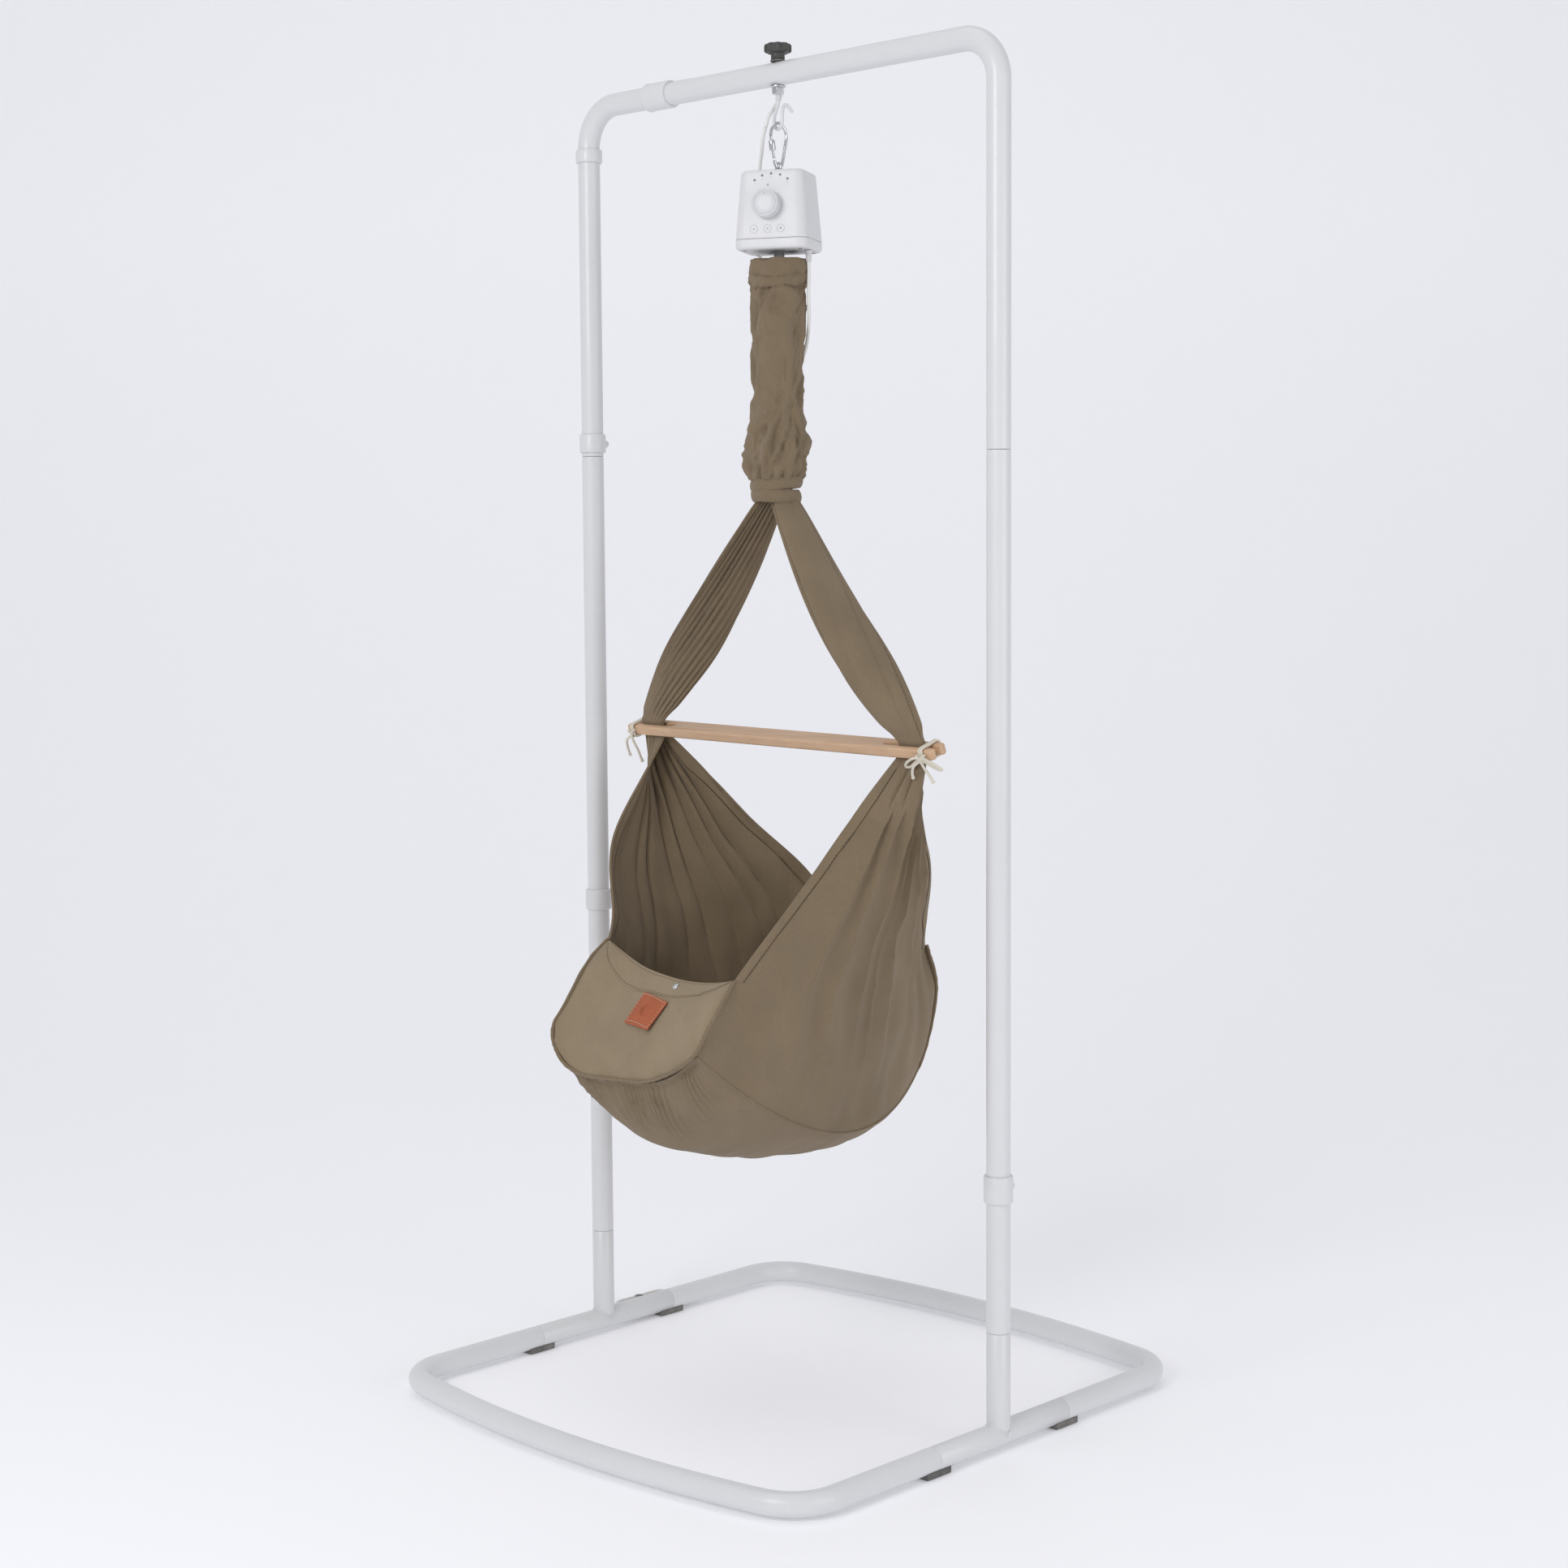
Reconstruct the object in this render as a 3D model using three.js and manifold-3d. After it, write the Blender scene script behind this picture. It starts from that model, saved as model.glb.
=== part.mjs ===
// Motorised baby hammock on a knock-down tubular stand, in millimetres.
// +Z is up and the origin is on the floor at the middle of the stand.  X runs along the crossbar,
// and -Y is the end of the cradle that carries the leather label.
import * as THREE from 'three';
import { mergeVertices } from 'three/addons/utils/BufferGeometryUtils.js';
import Module from 'manifold-3d';

const wasm = await Module();
wasm.setup();

// ---- driving dimensions -------------------------------------------------------------------
const tubeRadius = 16;             // 32 mm steel tube
const tubeWall = 1.5;
const tubeSides = 12;
const footHeight = 4;              // rubber under the base tubes
const baseZ = footHeight + tubeRadius;
const legX = 388.5;                // half distance between the two uprights
const teeHalf = 133;               // half length of each straight base piece
const railY = 378;                 // base corner lines
const crownY = 452;                // control point that bows the end rails outwards
const railCorner = 70;             // bend radius of the base corners
const crossbarZ = 1835;
const elbowRadius = 58;
const stubTop = 158;               // the welded upright stubs end here
const leftJointLow = 665;
const leftJointHigh = 1328;
const leftJointTop = 1762;
const rightJointLow = 350;
const rightJointHigh = 1312;
const crossbarJointX = -232;
const insertDepth = 34;            // how far one tube end goes into the next
const gap = 0.3;                   // clearance between touching pieces
const pivotZ = 1761;               // underside of the hook, where the carabiner hangs
const hookTurn = THREE.MathUtils.degToRad(-10);
const motorTurn = THREE.MathUtils.degToRad(27);
const motorTop = 1702;
const motorSeam = 1609;
const motorBottom = 1595;
const motorWidth = 105;            // at the bottom edge
const motorDepth = 88;
const motorTopScale = 0.86;        // the housing narrows upwards
const motorWall = 2.5;
const sleeveTop = 1584;
const neckZ = 1250;                // underside of the gathered neck
const barLength = 660;
const barWidth = 30;
const barHeight = 15;
const barZ = 926;
const barTurn = THREE.MathUtils.degToRad(-6);
const barTilt = THREE.MathUtils.degToRad(0.4);
const barRoll = THREE.MathUtils.degToRad(20);   // its top face leans to the front
const slotWidth = 9;
const slotLength = 98;
const leadRadius = 2.5;            // 5 mm low-voltage lead
const clothThickness = 3;

const object = new THREE.Group();

// ---- helpers ------------------------------------------------------------------------------
function mergedGeometry(geometry) {
  const plain = geometry.clone();
  plain.deleteAttribute('normal');
  plain.deleteAttribute('uv');
  const merged = mergeVertices(plain, 1e-3);
  const corner = merged.attributes.position;
  const order = [...merged.index.array];
  const kept = [];
  for (let i = 0; i < order.length; i += 3) {
    const [a, b, c] = order.slice(i, i + 3);
    if (a !== b && b !== c && a !== c) kept.push(a, b, c);
  }
  let volume = 0;
  const [p, q, r] = [new THREE.Vector3(), new THREE.Vector3(), new THREE.Vector3()];
  for (let i = 0; i < kept.length; i += 3) {
    p.fromBufferAttribute(corner, kept[i]);
    q.fromBufferAttribute(corner, kept[i + 1]);
    r.fromBufferAttribute(corner, kept[i + 2]);
    volume += p.dot(q.cross(r));
  }
  if (volume < 0) {
    for (let i = 0; i < kept.length; i += 3) [kept[i], kept[i + 1]] = [kept[i + 1], kept[i]];
  }
  merged.setIndex(kept);
  return merged;
}

function toSolid(geometry) {
  const merged = mergedGeometry(geometry);
  const vertProperties = new Float32Array(merged.attributes.position.array);
  const triVerts = new Uint32Array(merged.index.array);
  return new wasm.Manifold(new wasm.Mesh({ numProp: 3, vertProperties, triVerts }));
}

function fromSolid(solid) {
  const mesh = solid.getMesh();
  const geometry = new THREE.BufferGeometry();
  geometry.setAttribute('position', new THREE.BufferAttribute(new Float32Array(mesh.vertProperties), 3));
  geometry.setIndex([...mesh.triVerts]);
  return geometry;
}

function joinAll(geometries) {
  return geometries.map(toSolid).reduce((whole, next) => whole.add(next));
}

function cutAll(solid, geometries) {
  return geometries.map(toSolid).reduce((whole, next) => whole.subtract(next), solid);
}

const finishes = {
  whiteSteel: { color: 0xf0f0ee, roughness: 0.45, metalness: 0.0 },
  whitePlastic: { color: 0xecebe7, roughness: 0.5, metalness: 0.0 },
  blackPlastic: { color: 0x1c1c1e, roughness: 0.5, metalness: 0.0 },
  chrome: { color: 0xc9ccd0, roughness: 0.15, metalness: 1.0 },
  darkRubber: { color: 0x37373a, roughness: 0.85, metalness: 0.0 },
  taupeCotton: { color: 0x7d6e58, roughness: 0.95, metalness: 0.0 },
  lightCotton: { color: 0x96866c, roughness: 0.95, metalness: 0.0 },
  beech: { color: 0xd9b99b, roughness: 0.55, metalness: 0.0 },
  cottonCord: { color: 0xe9e4d8, roughness: 0.9, metalness: 0.0 },
  leather: { color: 0xb8623a, roughness: 0.65, metalness: 0.0 },
  greyWebbing: { color: 0x9b9b9a, roughness: 0.8, metalness: 0.0 },
  whiteLead: { color: 0xe9e9e6, roughness: 0.5, metalness: 0.0 },
  greenBoard: { color: 0x2f6b45, roughness: 0.6, metalness: 0.0 },
};

function addPiece(name, geometry, finish, parent = object) {
  const material = new THREE.MeshStandardMaterial(finishes[finish]);
  const mesh = new THREE.Mesh(mergedGeometry(geometry), material);
  mesh.name = name;
  parent.add(mesh);
  return mesh;
}

function vec(x, y, z) {
  return new THREE.Vector3(x, y, z);
}

function mixed(a, b, t) {
  return a.clone().lerp(b, t);
}

function polygonShape(radius, sides, innerRadius = 0) {
  const corners = (r) => Array.from({ length: sides }, (_, i) => {
    const angle = 2 * Math.PI * (i + 0.5) / sides;
    return new THREE.Vector2(r * Math.cos(angle), r * Math.sin(angle));
  });
  const shape = new THREE.Shape(corners(radius));
  if (innerRadius > 0) shape.holes.push(new THREE.Path(corners(innerRadius).reverse()));
  return shape;
}

// A route made of several curves, each with its own number of steps, so that straight
// stretches take one step and bends take many.
class Route extends THREE.Curve {
  constructor(stretches) {
    super();
    this.stretches = stretches;
    this.steps = stretches.reduce((sum, stretch) => sum + stretch.steps, 0);
  }
  getPoint(t) {
    let left = t * this.steps;
    for (const { curve, steps } of this.stretches) {
      if (left <= steps + 1e-9) return curve.getPoint(Math.min(1, left / steps));
      left -= steps;
    }
    return this.stretches[this.stretches.length - 1].curve.getPoint(1);
  }
  getPointAt(u) {
    return this.getPoint(u);
  }
  getTangentAt(u) {
    return this.getTangent(u);
  }
}

function line(a, b) {
  return { curve: new THREE.LineCurve3(a, b), steps: 1 };
}

// A round bend that leaves the corner point by the bend radius on both sides.
function bend(from, corner, to, radius, steps) {
  const inDir = corner.clone().sub(from).normalize();
  const outDir = to.clone().sub(corner).normalize();
  const turn = inDir.angleTo(outDir);
  const reach = radius * Math.tan(turn / 2);
  const start = corner.clone().addScaledVector(inDir, -reach);
  const side = outDir.clone().addScaledVector(inDir, -outDir.dot(inDir)).normalize();
  const curve = new THREE.Curve();
  curve.getPoint = (t) => {
    const angle = turn * t;
    return start.clone()
      .addScaledVector(inDir, radius * Math.sin(angle))
      .addScaledVector(side, radius * (1 - Math.cos(angle)));
  };
  return { start, end: curve.getPoint(1), stretch: { curve, steps } };
}

function sweep(route, outer, inner, sides) {
  return new THREE.ExtrudeGeometry(polygonShape(outer, sides, inner), {
    steps: route.steps, extrudePath: route, bevelEnabled: false,
  });
}

// A turned piece about the Z axis.  The profile is [radius, z] pairs; a ring repeats its first pair.
function turned(profile, sides) {
  const points = profile.map(([r, z]) => new THREE.Vector2(r, z));
  return new THREE.LatheGeometry(points, sides, Math.PI / sides).rotateX(Math.PI / 2);
}

function ringProfile(inner, outer, z0, z1) {
  return [[inner, z0], [outer, z0], [outer, z1], [inner, z1], [inner, z0]];
}

function block(sizeX, sizeY, sizeZ, x = 0, y = 0, z = 0) {
  return new THREE.BoxGeometry(sizeX, sizeY, sizeZ).translate(x, y, z);
}

// A closed skin over rings of points: each ring is an array of the same length.
function skinRings(rings) {
  const count = rings[0].length;
  const points = rings.flat();
  const order = [];
  for (let i = 0; i < rings.length - 1; i++) {
    for (let j = 0; j < count; j++) {
      const k = (j + 1) % count;
      const [a, b, c, d] = [i * count + j, i * count + k, (i + 1) * count + k, (i + 1) * count + j];
      order.push(a, b, c, a, c, d);
    }
  }
  for (const end of [0, rings.length - 1]) {
    const middle = points.length;
    points.push(rings[end].reduce((sum, p) => sum.add(p), vec(0, 0, 0)).divideScalar(count));
    for (let j = 0; j < count; j++) {
      const [a, b] = [end * count + j, end * count + (j + 1) % count];
      if (end === 0) order.push(middle, b, a);
      else order.push(middle, a, b);
    }
  }
  const geometry = new THREE.BufferGeometry().setFromPoints(points);
  geometry.setIndex(order);
  return geometry;
}

// A thin closed sheet: surface(u, v) is its outer side, and it is as thick as given towards
// the point that inside gives.
function thinSheet(surface, columns, rows, thickness, inside) {
  const step = 1e-3;
  const outer = [];
  const inner = [];
  for (let i = 0; i <= columns; i++) {
    for (let j = 0; j <= rows; j++) {
      const [u, v] = [i / columns, j / rows];
      const p = surface(u, v);
      const du = surface(Math.min(1, u + step), v).sub(surface(Math.max(0, u - step), v));
      const dv = surface(u, Math.min(1, v + step)).sub(surface(u, Math.max(0, v - step)));
      const normal = du.cross(dv).normalize();
      if (normal.dot(inside.clone().sub(p)) < 0) normal.negate();
      outer.push(p);
      inner.push(p.clone().addScaledVector(normal, thickness));
    }
  }
  const total = outer.length;
  const order = [];
  const quad = (a, b, c, d) => order.push(a, b, c, a, c, d);
  const at = (i, j) => i * (rows + 1) + j;
  for (let i = 0; i < columns; i++) {
    for (let j = 0; j < rows; j++) {
      quad(at(i, j), at(i + 1, j), at(i + 1, j + 1), at(i, j + 1));
      quad(at(i, j) + total, at(i, j + 1) + total, at(i + 1, j + 1) + total, at(i + 1, j) + total);
    }
  }
  const edge = [];
  for (let i = 0; i < columns; i++) edge.push(at(i, 0));
  for (let j = 0; j < rows; j++) edge.push(at(columns, j));
  for (let i = columns; i > 0; i--) edge.push(at(i, rows));
  for (let j = rows; j > 0; j--) edge.push(at(0, j));
  edge.forEach((a, k) => {
    const b = edge[(k + 1) % edge.length];
    quad(b, a, a + total, b + total);
  });
  const geometry = new THREE.BufferGeometry().setFromPoints([...outer, ...inner]);
  geometry.setIndex(order);
  return geometry;
}

// ---- stand --------------------------------------------------------------------------------
const boreRadius = tubeRadius - tubeWall;
const insertRadius = boreRadius - gap;

// One end rail: from the joint on one straight base piece, round the bowed end, to the other.
function baseRail(side) {
  const left = vec(-legX, side * (teeHalf + gap), baseZ);
  const right = vec(legX, side * (teeHalf + gap), baseZ);
  const cornerLeft = vec(-legX, side * railY, baseZ);
  const cornerRight = vec(legX, side * railY, baseZ);
  const crown = vec(0, side * crownY, baseZ);
  const first = bend(left, cornerLeft, crown, railCorner, 4);
  const second = bend(crown, cornerRight, right, railCorner, 4);
  const bow = new THREE.QuadraticBezierCurve3(first.end, crown, second.start);
  const route = new Route([
    line(left, first.start),
    first.stretch,
    { curve: bow, steps: 6 },
    second.stretch,
    line(second.end, right),
  ]);
  return sweep(route, tubeRadius, boreRadius, tubeSides);
}

// A straight tube along Z whose ends can be drawn in so that they go into the next tube.
function straightTube(z0, z1, insertLow, insertHigh) {
  const wallIn = insertRadius - tubeWall;
  const profile = [];
  const [tipLow, tipHigh] = [z0 - insertDepth, z1 + insertDepth];
  if (insertLow) profile.push([wallIn, tipLow], [insertRadius, tipLow], [insertRadius, z0]);
  else profile.push([boreRadius, z0]);
  profile.push([tubeRadius, z0], [tubeRadius, z1]);
  if (insertHigh) profile.push([insertRadius, z1], [insertRadius, tipHigh], [wallIn, tipHigh]);
  else profile.push([boreRadius, z1]);
  if (insertHigh) profile.push([wallIn, z1 - 2], [boreRadius, z1 - 4]);
  if (insertLow) profile.push([boreRadius, z0 + 4], [wallIn, z0 + 2]);
  profile.push(profile[0]);
  return turned(profile, tubeSides);
}

// The straight base piece with its welded upright stub.
function baseTee(side) {
  const run = straightTube(-teeHalf, teeHalf, true, true).rotateX(-Math.PI / 2);
  const height = stubTop - baseZ;
  const facet = Math.PI / tubeSides;
  const stubBoreRadius = tubeRadius - 1;
  const stubOuter = turned([[0, 1], [tubeRadius, 1], [tubeRadius, height], [0, height]], tubeSides)
    .rotateZ(facet);
  const stubBore = turned([[0, 9], [stubBoreRadius, 9], [stubBoreRadius, stubTop], [0, stubTop]], tubeSides)
    .rotateZ(facet);
  const solid = joinAll([run, stubOuter]).subtract(toSolid(stubBore));
  return fromSolid(solid).translate(side * legX, 0, baseZ);
}

// A rubber saddle pad under each joint of the base.
function rubberFoot(x, y) {
  const pad = block(26, 46, 9, 0, 0, 4.5);
  const seat = new THREE.CylinderGeometry(tubeRadius + gap, tubeRadius + gap, 60, 24).translate(0, 0, baseZ);
  return fromSolid(cutAll(toSolid(pad), [seat])).translate(x, y, 0);
}

function elbowTube(side, legTop, barEnd) {
  const foot = vec(side * legX, 0, legTop);
  const corner = vec(side * legX, 0, crossbarZ);
  const end = vec(barEnd, 0, crossbarZ);
  const arc = bend(foot, corner, end, elbowRadius, 5);
  const route = new Route([line(foot, arc.start), arc.stretch, line(arc.end, end)]);
  return route;
}

const collarRadius = 19.5;
const collarBore = 17;
function collar(z0, z1) {
  const inner = collarBore;
  return turned([
    [inner, z0], [collarRadius - 1, z0], [collarRadius, z0 + 1.5],
    [collarRadius, z1 - 1.5], [collarRadius - 1, z1], [inner, z1], [inner, z0],
  ], tubeSides);
}

// A collar with a boss that takes the clamping bolt, which points towards +Y.
function boltedCollar(z0, z1) {
  const middle = (z0 + z1) / 2;
  const boss = new THREE.CylinderGeometry(6.5, 6.5, 9, 10).translate(0, 20.5, middle);
  const through = new THREE.CylinderGeometry(2.6, 2.6, 14, 8).translate(0, 22, middle);
  const core = turned([[0, z0 - 1], [collarBore, z0 - 1], [collarBore, z1 + 1], [0, z1 + 1]], tubeSides);
  const solid = toSolid(collar(z0, z1)).add(toSolid(boss));
  return fromSolid(cutAll(solid, [core, through]));
}

// A domed socket screw whose shank stays inside the boss.
function collarBolt(middle) {
  const screw = turned([
    [0, 17.4], [2.2, 17.4], [2.2, 25.3], [4.8, 25.3], [4.8, 27.5], [3.4, 29.3],
    [1.6, 29.3], [1.6, 27.3], [0, 27.3],
  ], 8);
  return screw.rotateX(-Math.PI / 2).translate(0, 0, middle);
}

function makeStand() {
  addPiece('base_front_rail', baseRail(-1), 'whiteSteel');
  addPiece('base_rear_rail', baseRail(1), 'whiteSteel');
  addPiece('base_left_tee', baseTee(-1), 'whiteSteel');
  addPiece('base_right_tee', baseTee(1), 'whiteSteel');
  for (const [end, sy] of [['front', -1], ['rear', 1]]) {
    for (const [side, sx] of [['left', -1], ['right', 1]]) {
      addPiece(`foot_${end}_${side}`, rubberFoot(sx * legX, sy * teeHalf), 'darkRubber');
    }
  }
  const legs = [
    ['left_lower_leg', -1, stubTop + gap, leftJointLow, true, false],
    ['left_middle_leg', -1, leftJointLow + gap, leftJointHigh, true, false],
    ['left_upper_leg', -1, leftJointHigh + gap, leftJointTop, true, false],
    ['right_lower_leg', 1, stubTop + gap, rightJointLow, true, false],
    ['right_upper_leg', 1, rightJointLow + gap, rightJointHigh, true, true],
  ];
  for (const [name, side, z0, z1, low, high] of legs) {
    addPiece(name, straightTube(z0, z1, low, high).translate(side * legX, 0, 0), 'whiteSteel');
  }
  const leftRoute = elbowTube(-1, leftJointTop + gap, crossbarJointX);
  const rightRoute = elbowTube(1, rightJointHigh + gap, crossbarJointX + gap);
  const stemHole = new THREE.CylinderGeometry(4.4, 4.4, 60, 12).rotateX(Math.PI / 2)
    .translate(0, 0, crossbarZ);
  addPiece('left_elbow', sweep(leftRoute, tubeRadius, boreRadius, tubeSides), 'whiteSteel');
  const crossbar = cutAll(toSolid(sweep(rightRoute, tubeRadius, boreRadius, tubeSides)), [stemHole]);
  addPiece('crossbar', fromSolid(crossbar), 'whiteSteel');
}

function makeCollars() {
  const left = (geometry) => geometry.translate(-legX, 0, 0);
  const right = (geometry) => geometry.translate(legX, 0, 0);
  addPiece('left_lower_collar', left(collar(651, 681)), 'whiteSteel');
  addPiece('left_bolted_collar', left(boltedCollar(1334, 1361)), 'whiteSteel');
  addPiece('left_elbow_collar', left(collar(1757, 1776)), 'whiteSteel');
  addPiece('right_bolted_collar', right(boltedCollar(332, 368)), 'whiteSteel');
  const barCollar = collar(-24, 22).rotateY(Math.PI / 2);
  addPiece('crossbar_collar', barCollar.translate(crossbarJointX, 0, crossbarZ), 'whiteSteel');
  addPiece('left_collar_bolt', left(collarBolt(1347.5)), 'chrome');
  addPiece('right_collar_bolt', right(collarBolt(350)), 'chrome');
}

// ---- hook and star knob -------------------------------------------------------------------
function starKnob() {
  const outline = new THREE.Shape();
  const count = 32;
  for (let i = 0; i < count; i++) {
    const angle = 2 * Math.PI * i / count;
    const radius = 17.2 + 1.8 * Math.cos(8 * angle);
    outline[i === 0 ? 'moveTo' : 'lineTo'](radius * Math.cos(angle), radius * Math.sin(angle));
  }
  const low = crossbarZ + tubeRadius + 3;
  const head = new THREE.ExtrudeGeometry(outline, {
    depth: 12, bevelEnabled: true, bevelThickness: 1.5, bevelSize: 1.5, bevelSegments: 1, bevelOffset: -1.5,
  }).translate(0, 0, low + 8.5);
  const neck = turned([[0, low], [9.5, low], [9.5, low + 9], [0, low + 9]], 12);
  const thread = turned([[0, low - 1], [4.3, low - 1], [4.3, low + 17], [0, low + 17]], 12);
  return fromSolid(joinAll([head, neck]).subtract(toSolid(thread)));
}

// The hook: a coated rod with a threaded stem, an open loop and a turned-out guide tip.
const hookRod = 2.5;
const hookLoop = 9;                 // centre line radius of the loop
function hookShape() {
  const bottom = pivotZ - hookRod;
  const centreZ = bottom + hookLoop + hookRod;
  const backX = -hookLoop;
  const stemEnd = vec(0, 0, 1801);
  const curve = new THREE.CatmullRomCurve3([
    stemEnd, vec(-0.6, 0, 1794), vec(-5, 0, 1786), vec(backX, 0, 1779), vec(backX, 0, centreZ),
    vec(-hookLoop * 0.707, 0, centreZ - hookLoop * 0.707), vec(0, 0, centreZ - hookLoop),
    vec(hookLoop * 0.707, 0, centreZ - hookLoop * 0.707), vec(hookLoop, 0, centreZ),
    vec(hookLoop + 0.5, 0, 1782), vec(hookLoop + 3, 0, 1789), vec(hookLoop + 8, 0, 1791),
    vec(hookLoop + 17, 0, 1785), vec(hookLoop + 24, 0, 1779),
  ]);
  const rod = sweep(new Route([{ curve, steps: 26 }]), hookRod, 0, 6);
  const stem = turned([[0, 1799], [3.9, 1799], [3.9, crossbarZ + 34], [0, crossbarZ + 34]], 12);
  return fromSolid(joinAll([rod, stem])).rotateZ(hookTurn);
}

function hookNut() {
  const top = crossbarZ - tubeRadius - gap;
  const nut = new THREE.CylinderGeometry(8.5, 8.5, 9, 6).rotateX(Math.PI / 2).translate(0, 0, top - 7);
  const flange = turned([[0, top - 3], [11, top - 3], [11, top], [0, top]], 20);
  const bore = turned([[0, top - 20], [4.2, top - 20], [4.2, top + 5], [0, top + 5]], 12);
  return fromSolid(joinAll([nut, flange]).subtract(toSolid(bore)));
}

function knobWasher() {
  const low = crossbarZ + tubeRadius + gap;
  return turned(ringProfile(4.3, 10.5, low, low + 2.2), 20);
}

function makeHook() {
  addPiece('star_knob', starKnob(), 'blackPlastic');
  addPiece('knob_washer', knobWasher(), 'darkRubber');
  addPiece('hook', hookShape(), 'whiteSteel');
  addPiece('hook_nut', hookNut(), 'chrome');
}

// ---- carabiner ----------------------------------------------------------------------------
// A pear-shaped snap hook in the plane across the hook's loop.  Its top bend hangs in the hook
// and its narrow bottom bend carries the motor's eye.
const snapRod = 2.25;
const snapTopZ = pivotZ + gap + snapRod + 5.3;
const snapLowZ = 1708.2;
function makeCarabiner() {
  const group = new THREE.Group();
  group.rotation.z = hookTurn;
  object.add(group);
  const wide = 13.5;
  const narrow = 5.5;
  const gateTop = vec(0, -wide + 0.4, 1752);
  const gateLow = vec(0, -narrow - 2.1, 1721);
  const body = new THREE.CatmullRomCurve3([
    gateTop, vec(0, -wide + 2.5, 1760), vec(0, -6, 1766.5), vec(0, 0, snapTopZ), vec(0, 6, 1766.5),
    vec(0, wide - 2, 1760), vec(0, wide, 1752), vec(0, 11, 1738), vec(0, narrow + 2, 1720),
    vec(0, narrow, 1713), vec(0, 3.2, 1709.4), vec(0, 0, snapLowZ), vec(0, -3.2, 1709.4),
    vec(0, -narrow, 1713), gateLow.clone().add(vec(0, 0.6, -2.2)),
  ]);
  addPiece('carabiner', sweep(new Route([{ curve: body, steps: 28 }]), snapRod, 0, 6), 'chrome', group);
  const gateDir = gateLow.clone().sub(gateTop).normalize();
  const gateStart = gateTop.clone().addScaledVector(gateDir, 1);
  const gateEnd = gateLow.clone().addScaledVector(gateDir, -1);
  const gate = sweep(new Route([line(gateStart, gateEnd)]), 1.9, 0, 8);
  addPiece('carabiner_gate', gate, 'chrome', group);
  const sleeveStart = gateStart.clone().addScaledVector(gateDir, 6);
  const sleeveEnd = sleeveStart.clone().addScaledVector(gateDir, 14);
  const nut = sweep(new Route([line(sleeveStart, sleeveEnd)]), 4.2, 2.2, 12);
  addPiece('carabiner_screw_sleeve', nut, 'chrome', group);
}

// ---- motor --------------------------------------------------------------------------------
function roundedRectangle(width, depth, radius) {
  const [x, y] = [width / 2, depth / 2];
  const shape = new THREE.Shape();
  shape.moveTo(-x + radius, -y);
  shape.lineTo(x - radius, -y);
  shape.absarc(x - radius, -y + radius, radius, -Math.PI / 2, 0, false);
  shape.lineTo(x, y - radius);
  shape.absarc(x - radius, y - radius, radius, 0, Math.PI / 2, false);
  shape.lineTo(-x + radius, y);
  shape.absarc(-x + radius, y - radius, radius, Math.PI / 2, Math.PI, false);
  shape.lineTo(-x, -y + radius);
  shape.absarc(-x + radius, -y + radius, radius, Math.PI, 1.5 * Math.PI, false);
  return shape;
}

// A rounded block that narrows upwards, with a small round along its top edge.
function taperedBlock(width, depth, radius, z0, z1, edge) {
  const geometry = new THREE.ExtrudeGeometry(roundedRectangle(width, depth, radius), {
    depth: z1 - z0 - edge, bevelEnabled: edge > 0, bevelThickness: edge, bevelSize: edge,
    bevelOffset: -edge, bevelSegments: 1, curveSegments: 3,
  }).translate(0, 0, z0);
  const place = geometry.attributes.position;
  const slope = (1 - motorTopScale) / (motorTop - motorSeam);
  for (let i = 0; i < place.count; i++) {
    const z = Math.max(z0, place.getZ(i));
    const shrink = 1 - slope * Math.max(0, z - motorSeam);
    place.setXYZ(i, place.getX(i) * shrink, place.getY(i) * shrink, z);
  }
  return geometry;
}

const glandX = 44;
const glandY = -6;
const glandEnd = 1580;
const faceTilt = Math.atan(motorDepth * (1 - motorTopScale) / 2 / (motorTop - motorSeam));
const dialZ = 1654;
const dialX = -3;
const ledRadius = 26;
function frontFaceY(z) {
  return -motorDepth / 2 + (z - motorSeam) * Math.tan(faceTilt);
}

// Turns a piece made about +Z so that it stands out of the tilted front face at (x, z).
function ontoFront(geometry, x, z) {
  return geometry.rotateX(Math.PI / 2 - faceTilt).translate(x, frontFaceY(z), z);
}

function ledPlace(i) {
  const angle = THREE.MathUtils.degToRad(90 + (2 - i) * 23);
  return [dialX + 4 + 1.25 * ledRadius * Math.cos(angle), dialZ + 16 + ledRadius * Math.sin(angle)];
}

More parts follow.
